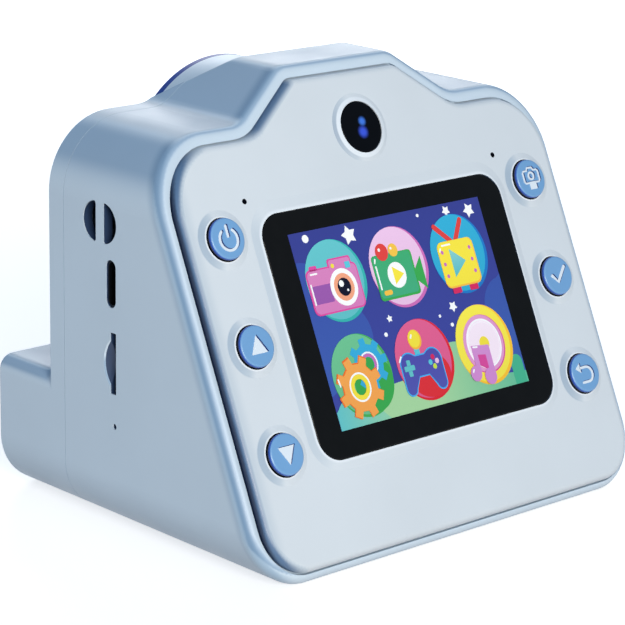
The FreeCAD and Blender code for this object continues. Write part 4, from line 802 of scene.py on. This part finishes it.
def camera_icon(x, y):
    base = badge(x, y, srgb(98, 190, 196), srgb(56, 176, 172), "teal")
    x, y = x - 0.9, y - 0.55
    pink = ink("pink", srgb(214, 124, 186), srgb(220, 138, 194), centre=(x, y))
    rim = ink("magenta", srgb(214, 76, 156))
    white = inks["white"]
    body = tile(x + 0.1, y - 0.9, 13.6, 8.6, 1.3)
    top = tile(x + 2.6, y + 3.4, 6.2, 2.6, 0.6)
    inner = tile(x + 0.1, y - 0.9, 13.0, 8.0, 1.1)
    shines = [shine(x - 4.7, y + 2.5, 1.9), shine(x - 6.1, y - 1.2, 4.0, math.pi / 2)]
    plum = ink("plum", srgb(148, 86, 164))
    apricot = ink("apricot", srgb(238, 162, 128))
    black = ink("ink_black", srgb(16, 16, 38))
    return base + [
        sheet_layer(rim, 7, [body]),
        sheet_layer(rim, 8, [top]),
        sheet_layer(pink, 9, [inner]),
        sheet_layer(pink, 10, [tile(x + 2.6, y + 3.2, 5.6, 2.4, 0.5)]),
        sheet_layer(rim, 7, [tile(x - 4.4, y + 3.4, 2.0, 1.2, 0.3)]),
        sheet_layer(plum, 11, [tile(x - 3.6, y - 1.4, 5.0, 3.4, 0.1)]),
        sheet_layer(white, 12, [disc(x + 2.2, y - 0.9, 3.5)]),
        sheet_layer(apricot, 13, [disc(x + 2.2, y - 0.9, 2.6)]),
        sheet_layer(black, 14, [disc(x + 2.2, y - 0.9, 1.7)]),
        sheet_layer(white, 15, [disc(x + 1.6, y - 0.2, 0.62), disc(x + 2.9, y - 1.6, 0.25)]),
        sheet_layer(white, 13, shines),
        sheet_layer(ink("cyan", srgb(90, 196, 214)), 13, [tile(x + 4.5, y + 3.0, 1.3, 1.2, 0.15)]),
        sheet_layer(ink("yellow", srgb(240, 222, 66)), 13, [disc(x + 0.6, y + 3.3, 0.42)]),
    ]


def camcorder_icon(x, y):
    base = badge(x, y, srgb(232, 192, 226), srgb(204, 110, 182), "rose")
    x, y = x - 0.8, y - 0.7
    green = ink("green", srgb(70, 172, 132), srgb(64, 176, 110), centre=(x, y))
    edge = ink("leaf", srgb(58, 164, 78))
    red = ink("red", srgb(216, 48, 56), srgb(228, 70, 66))
    amber = ink("amber", srgb(244, 178, 62), srgb(250, 200, 76))
    white = inks["white"]
    horn = [(x + 4.6, y - 0.5), (x + 6.9, y + 1.9), (x + 6.9, y - 4.4), (x + 4.6, y - 2.4)]
    play = [(x - 1.4, y + 1.0), (x + 1.4, y - 0.7), (x - 1.4, y - 2.4)]
    shines = [shine(x - 5.5, y - 0.6, 4.6, math.pi / 2), shine(x - 5.4, y + 2.6, 1.0, 1.2)]
    return base + [
        sheet_layer(edge, 7, [tile(x - 0.7, y - 0.7, 11.0, 8.6, 0.8)]),
        sheet_layer(edge, 8, [horn]),
        sheet_layer(green, 9, [tile(x - 0.85, y - 0.55, 10.4, 8.0, 0.7)]),
        sheet_layer(white, 10, [disc(x - 0.5, y - 0.7, 2.45)]),
        sheet_layer(inks["yellow"], 11, [play]),
        sheet_layer(red, 12, [disc(x - 3.0, y + 4.0, 1.65)]),
        sheet_layer(amber, 12, [disc(x + 0.1, y + 4.0, 1.25)]),
        sheet_layer(white, 13, [disc(x - 3.6, y + 4.5, 0.32), disc(x - 0.4, y + 4.4, 0.25)]),
        sheet_layer(white, 11, shines),
        sheet_layer(amber, 11, [tile(x - 4.0, y - 3.6, 2.2, 0.9, 0.4)]),
    ]


def television_icon(x, y):
    base = badge(x, y, srgb(52, 170, 208), srgb(34, 120, 196), "azure")
    x, y = x - 0.9, y - 0.7
    teal = ink("screen_teal", srgb(92, 190, 200), srgb(150, 214, 210), centre=(x, y), reach=3)
    play = [(x - 1.9, y + 2.0), (x + 2.0, y - 0.8), (x - 1.9, y - 3.6)]
    knobs = [disc(x + side * 3.9, y + up, 0.38) for side in (-1, 1) for up in (1.5, -0.8, -3.1)]
    aerial = [stroke([(x - 0.6, y + 3.4), (x - 4.2, y + 6.6)], 1.1),
              stroke([(x + 0.8, y + 3.4), (x + 3.4, y + 7.0)], 1.1)]
    feet = [tile(x + side * 2.4, y - 6.0, 2.4, 1.2, 0.25) for side in (-1, 1)]
    shines = [shine(x - 2.4, y + 2.8, 2.6), shine(x - 4.3, y + 2.0, 0.9, 1.1)]
    return base + [
        sheet_layer(inks["red"], 7, aerial),
        sheet_layer(ink("cherry", srgb(208, 44, 96)), 8, feet),
        sheet_layer(inks["amber"], 9, [tile(x + 0.1, y - 1.0, 10.2, 9.0, 1.4)]),
        sheet_layer(inks["yellow"], 10, [tile(x, y - 0.85, 9.8, 8.6, 1.3)]),
        sheet_layer(teal, 11, [play]),
        sheet_layer(ink("mauve", srgb(196, 110, 182)), 11, knobs),
        sheet_layer(inks["white"], 11, shines),
    ]


def gears_icon(x, y):
    """Two cog wheels, with pale rings about their hubs."""
    base = badge(x, y, srgb(104, 184, 138), srgb(70, 168, 84), "meadow")
    blue = ink("gear_blue", srgb(56, 170, 216))
    orange = ink("gear_orange", srgb(240, 160, 78), srgb(244, 168, 84), centre=(x, y))
    deep = ink("gear_edge", srgb(236, 112, 44))
    back = (x + 2.3, y + 1.7)
    front = (x - 1.6, y - 2.0)

    def ring(spot, outer, inner):
        return [disc(*spot, outer), disc(*spot, inner)]

    return base + [
        sheet_layer(inks["leaf"], 7, [ellipse(x + 2.4, y - 1.8, 5.0, 5.4, -0.6)]),
        sheet_layer(blue, 8, [gear(*back, 4.9, 8, 0.1), disc(*back, 1.3)]),
        sheet_layer(inks["white"], 9, ring(back, 2.3, 2.0)),
        sheet_layer(inks["mauve"], 9, ring(back, 1.95, 1.35)),
        sheet_layer(deep, 10, [gear(*front, 6.0, 8, 0.35), disc(*front, 1.5)]),
        sheet_layer(orange, 11, [gear(x - 1.5, y - 2.1, 5.8, 8, 0.35), disc(*front, 1.5)]),
        sheet_layer(inks["white"], 12, ring(front, 2.75, 2.4)),
        sheet_layer(inks["yellow"], 12, ring(front, 2.35, 1.5)),
        sheet_layer(inks["white"], 12, [shine(x - 6.6, y - 0.4, 1.6, 1.7)]),
    ]


def gamepad_icon(x, y):
    base = badge(x, y, srgb(214, 92, 138), srgb(214, 40, 52), "berry")
    red_base = ellipse(x + 0.4, y - 3.0, 5.6, 4.2)
    x, y = x - 1.3, y - 0.65
    edge = ink("sky_edge", srgb(70, 168, 232))
    shell = ink("indigo", srgb(82, 88, 172), srgb(74, 70, 164), centre=(x, y))
    ink("lime", srgb(196, 222, 70))

    def pad(grow):
        """The pad's outline, moved out by grow."""
        right = bow(x + 3.3, y + 0.2, 2.5 + grow, 115, -12, 10) + \
            bow(x + 4.2, y - 4.0, 1.55 + grow, -5, -165, 12)
        left = bow(x - 4.2, y - 4.0, 1.55 + grow, -15, -175, 12) + \
            bow(x - 3.3, y + 0.2, 2.5 + grow, 192, 65, 10)
        waist = [(x + 1.4, y - 2.4 - grow), (x - 1.4, y - 2.4 - grow)]
        return right + waist + left + [(x - 1.3, y + 1.9 + grow), (x + 1.3, y + 1.9 + grow)]

    cross = [tile(x - 3.5, y - 0.3, 2.8, 1.0, 0.2), tile(x - 3.5, y + 0.7, 1.0, 1.1, 0.2),
             tile(x - 3.5, y - 1.3, 1.0, 1.1, 0.2)]
    keys = [("cherry", 3.3, 0.8), ("rose_face", 4.2, -0.1), ("cyan", 2.4, -0.1),
            ("lime", 3.3, -1.0)]
    shines = [shine(x - 5.4, y + 1.7, 1.4, 0.9), shine(x - 1.0, y + 5.4, 0.9, 1.0)]
    return base + [
        sheet_layer(inks["red"], 7, [red_base]),
        sheet_layer(inks["cyan"], 8, [tile(x - 0.3, y + 2.6, 1.4, 2.8, 0.3)]),
        sheet_layer(inks["amber"], 9, [ellipse(x - 0.15, y + 4.7, 1.8, 1.9)]),
        sheet_layer(inks["yellow"], 10, [ellipse(x - 0.3, y + 4.85, 1.55, 1.65)]),
        sheet_layer(edge, 9, [pad(0.0)]),
        sheet_layer(shell, 10, [pad(-0.28)]),
        sheet_layer(inks["teal_face"], 11, cross),
    ] + [
        sheet_layer(inks[tone], 11, [disc(x + u, y + v, 0.52)]) for tone, u, v in keys
    ] + [
        sheet_layer(inks["white"], 12, shines),
    ]


def music_icon(x, y):
    """A double note on a disc."""
    base = badge(x, y, srgb(238, 224, 76), srgb(244, 190, 54), "lemon")
    pale = ink("pale_rose", srgb(246, 230, 244))
    lilac = ink("lilac", srgb(204, 136, 204), srgb(212, 150, 210), centre=(x, y))
    hub = (x - 0.2, y + 0.2)
    heads = [disc(x - 4.7, y - 5.0, 1.5), disc(x - 0.9, y - 6.1, 1.6)]
    flag = [(x - 4.2, y + 0.3), (x + 0.7, y - 0.2), (x + 0.7, y - 6.1), (x - 0.8, y - 6.1),
            (x - 0.8, y - 1.9), (x - 3.0, y - 1.6), (x - 3.0, y - 5.0), (x - 4.2, y - 5.0)]
    gap = [(x - 3.1, y - 1.3), (x - 0.7, y - 1.7), (x - 0.7, y - 4.9), (x - 3.1, y - 3.6)]
    shines = [shine(x - 3.2, y - 0.1, 1.4, -0.1), shine(x - 5.3, y - 4.4, 0.8, 0.9)]
    return base + [
        sheet_layer(inks["magenta"], 7, [disc(x - 0.1, y + 0.1, 5.7)]),
        sheet_layer(ink("mauve_soft", srgb(224, 156, 206)), 8, [disc(x - 0.25, y + 0.2, 5.55)]),
        sheet_layer(inks["white"], 9, [disc(*hub, 4.8)]),
        sheet_layer(pale, 10, [disc(*hub, 4.45), disc(*hub, 4.2)]),
        sheet_layer(pale, 11, [disc(*hub, 4.1)]),
        sheet_layer(inks["yellow"], 12, [disc(*hub, 1.35)]),
        sheet_layer(inks["magenta"], 13, [gap]),
        sheet_layer(lilac, 14, [flag]),
        sheet_layer(lilac, 15, heads),
        sheet_layer(inks["white"], 16, shines),
    ]


def make_screen():
    """The backdrop and two rows of three icons, squeezed a little sideways."""
    screen = face_top("lcd_module")
    place = face_place(screen.x, screen.y, face_top("display_glass").z)
    make_backdrop(place)
    icons = [camera_icon, camcorder_icon, television_icon, gears_icon, gamepad_icon, music_icon]
    for index, draw in enumerate(icons):
        x = ICON_U + (index % 3 - 1) * ICON_STEP
        y = ICON_V[index // 3]
        layers = []
        for material, low, high, outlines, rounding in draw(x, y):
            squeezed = [[(x + ICON_SQUEEZE * (u - x), v) for u, v in line] for line in outlines]
            layers.append((material, low, high, squeezed, rounding))
        piece("screen_" + draw.__name__, layers, place, "case")


# ---------------------------------------------------------------- symbols on the buttons

# A symbol is a list of shapes, each a list of outlines: later outlines cut holes in the first.
SYMBOL_RISE = 0.14
SYMBOL_SUNK = 0.05
# The height of the painted shadow under a symbol.
SHADE_RISE = 0.07
SYMBOL_ROUND = 0.04
SHUTTER_ROUND = 0.03
# How far the painted shadow under a symbol is moved across and up.
SYMBOL_SHADE = (0.34, 0.1)
LINE = 0.5


def power_symbol():
    return [[stroke(bow(0, -0.2, 2.0, 128, 412), LINE)], [stroke([(0, 0.35), (0, 2.3)], LINE)]]


def up_symbol():
    return [[[(-1.85, -1.4), (1.85, -1.4), (0.0, 1.95)]]]


def down_symbol():
    return [[[(-1.85, 1.4), (0.0, -1.95), (1.85, 1.4)]]]


def shutter_symbol():
    """A camera with a print coming out below it."""
    right = [(0.6, 2.1), (0.95, 1.55), (1.8, 1.55), (2.1, 1.2), (2.1, -0.6), (1.8, -0.9),
             (0.95, -0.9)]
    left = [(-x, y) for x, y in right[::-1]]
    body = stroke(left + right, 0.38)
    return [[body], [disc(0, 0.45, 0.9, 32), disc(0, 0.45, 0.48, 32)],
            [tile(0, -1.45, 1.8, 1.55, 0.14)]]


def ok_symbol():
    """A tick."""
    return [[stroke([(-1.8, 0.1), (-0.55, -1.25), (1.9, 1.45)], 0.66)]]


def back_symbol():
    """An arrow that turns back to the left."""
    turn = bow(0.2, -0.35, 1.45, 80, -90, 16)
    hook = stroke([(-1.4, 1.1), (0.2, 1.1)] + turn + [(-1.4, -1.8)], LINE)
    head = [(-2.6, 1.1), (-1.35, 2.05), (-1.35, 0.15)]
    return [[hook], [head]]


def make_symbols():
    """A raised white symbol on each button, with a painted shadow that shows beside it."""
    paint = moulded("symbol_white", srgb(214, 224, 234), 0.42, grain=0.2 * MM, depth=0.002 * MM)
    painted_shadow = moulded("symbol_painted_shadow", srgb(16, 40, 104), 0.5, grain=0.2 * MM, depth=0.002 * MM)
    across, up = SYMBOL_SHADE
    symbols = {
        "power_button": (power_symbol, SYMBOL_ROUND),
        "up_button": (up_symbol, SYMBOL_ROUND),
        "down_button": (down_symbol, SYMBOL_ROUND),
        "shutter_button": (shutter_symbol, SHUTTER_ROUND),
        "ok_button": (ok_symbol, SYMBOL_ROUND),
        "back_button": (back_symbol, SYMBOL_ROUND),
    }
    for name, (draw, rounding) in symbols.items():
        shapes = draw()
        layers = [(paint, -SYMBOL_SUNK, SYMBOL_RISE, shape, rounding) for shape in shapes]
        # A painted shadow under each shape, moved across and up.
        for shape in shapes:
            under = [[(x + across, y + up) for x, y in outline] for outline in shape]
            layers.append((painted_shadow, -SYMBOL_SUNK, SHADE_RISE, under, rounding))
        place = face_place(*face_top(name))
        piece(name.replace("_button", "_symbol"), layers, place, name)


# ---------------------------------------------------------------- the studio

# The photo's camera.
LENS_MM = 153.8
SENSOR_MM = 36.0
NEAREST = 0.02
CAMERA_AT = Vector((-0.33766, -0.36139, 0.17303))
CAMERA_RIGHT = Vector((0.7383, -0.6743, 0.0173))
CAMERA_UP = Vector((0.1692, 0.2099, 0.9630))

# Where the lights aim, and for each: its way and distance from there, width, power and tone.
AIM = Vector((0, 0, 0.045))
LIGHTS = (
    ("key", Vector((-0.42, -0.85, 0.3)), 1.2, 0.55, 14.0, (1.0, 0.95, 0.87)),
    ("back", Vector((0.6, 0.7, 0.4)), 1.0, 0.6, 3.0, (1.0, 1.0, 1.0)),
)

FLOOR_HALF = 4.0
FLOOR_PALE = (0.66, 0.66, 0.66, 1.0)
# The floor's glow near the camera and far from it, and the two distances.
FLOOR_GLOW = (0.62, 0.92)
GLOW_REACH = (0.3, 0.8)

SKY_TONE = (0.19, 0.29, 0.41, 1.0)
UNDER_TONE = (0.16, 0.20, 0.25, 1.0)
HORIZON = 0.15


def make_camera():
    data = bpy.data.cameras.new("photo_camera")
    data.lens = LENS_MM
    data.sensor_width = SENSOR_MM
    data.clip_start = NEAREST
    camera = new_object("photo_camera", data)
    right = CAMERA_RIGHT.normalized()
    back = right.cross(CAMERA_UP).normalized()
    axes = Matrix((right, back.cross(right), back)).transposed()
    camera.matrix_world = Matrix.Translation(CAMERA_AT) @ axes.to_4x4()
    bpy.context.scene.camera = camera


def area_light(name, way, distance, size, power, tone):
    data = bpy.data.lights.new(name, "AREA")
    data.color = tone
    data.shape = "DISK"
    data.size = size
    data.energy = power
    light = new_object(name, data)
    place = AIM + distance * way
    light.location = place
    light.rotation_euler = (place - AIM).to_track_quat("Z", "Y").to_euler()


def make_floor():
    """A wide pale sheet that the camera stands on."""
    shader = Shader("studio_floor", FLOOR_PALE, 0.7)
    shader.set(shader.surface, "Base Color", shader.mottle(FLOOR_PALE, 0.01, 0.3))
    far = shader.off_axis((0, 0, 1), (0, 0, 0))
    glow = shader.spread(far, *FLOOR_GLOW, *GLOW_REACH)
    shader.set(shader.surface, "Emission Color", WHITE)
    shader.set(shader.surface, "Emission Strength", glow)
    shader.bump(shader.noise(3 * MM, 3.0), 0.01 * MM)
    mesh = bpy.data.meshes.new("studio_floor")
    corners = [(sx * FLOOR_HALF, sy * FLOOR_HALF, 0)
               for sx, sy in ((-1, -1), (1, -1), (1, 1), (-1, 1))]
    mesh.from_pydata(corners, [], [(0, 1, 2, 3)])
    mesh.materials.append(shader.material)
    floor = new_object("studio_floor", mesh)
    floor.visible_diffuse = False


def make_world():
    """Bluish light from above, little from below, and a plain white background."""
    world = bpy.data.worlds.new("studio")
    bpy.context.scene.world = world
    world.use_nodes = True
    tree = world.node_tree
    place = tree.nodes.new("ShaderNodeTexCoord")
    parts = tree.nodes.new("ShaderNodeSeparateXYZ")
    height = tree.nodes.new("ShaderNodeMapRange")
    height.inputs["From Min"].default_value = -HORIZON
    height.inputs["From Max"].default_value = HORIZON
    blend = tree.nodes.new("ShaderNodeMix")
    blend.data_type = "RGBA"
    blend.inputs[6].default_value = UNDER_TONE
    blend.inputs[7].default_value = SKY_TONE
    path = tree.nodes.new("ShaderNodeLightPath")
    seen = tree.nodes.new("ShaderNodeMix")
    seen.data_type = "RGBA"
    seen.inputs[7].default_value = WHITE
    for source, target in (
            (place.outputs["Generated"], parts.inputs[0]),
            (parts.outputs["Z"], height.inputs["Value"]),
            (height.outputs["Result"], blend.inputs[0]),
            (path.outputs["Is Camera Ray"], seen.inputs[0]),
            (blend.outputs[2], seen.inputs[6]),
            (seen.outputs[2], tree.nodes["Background"].inputs["Color"])):
        tree.links.new(source, target)


def make_studio():
    bpy.context.scene.view_settings.view_transform = "Standard"
    make_world()
    for light in LIGHTS:
        area_light(*light)
    make_floor()
    make_camera()


dress_case()
dress_inside()
make_screen()
make_symbols()
make_studio()
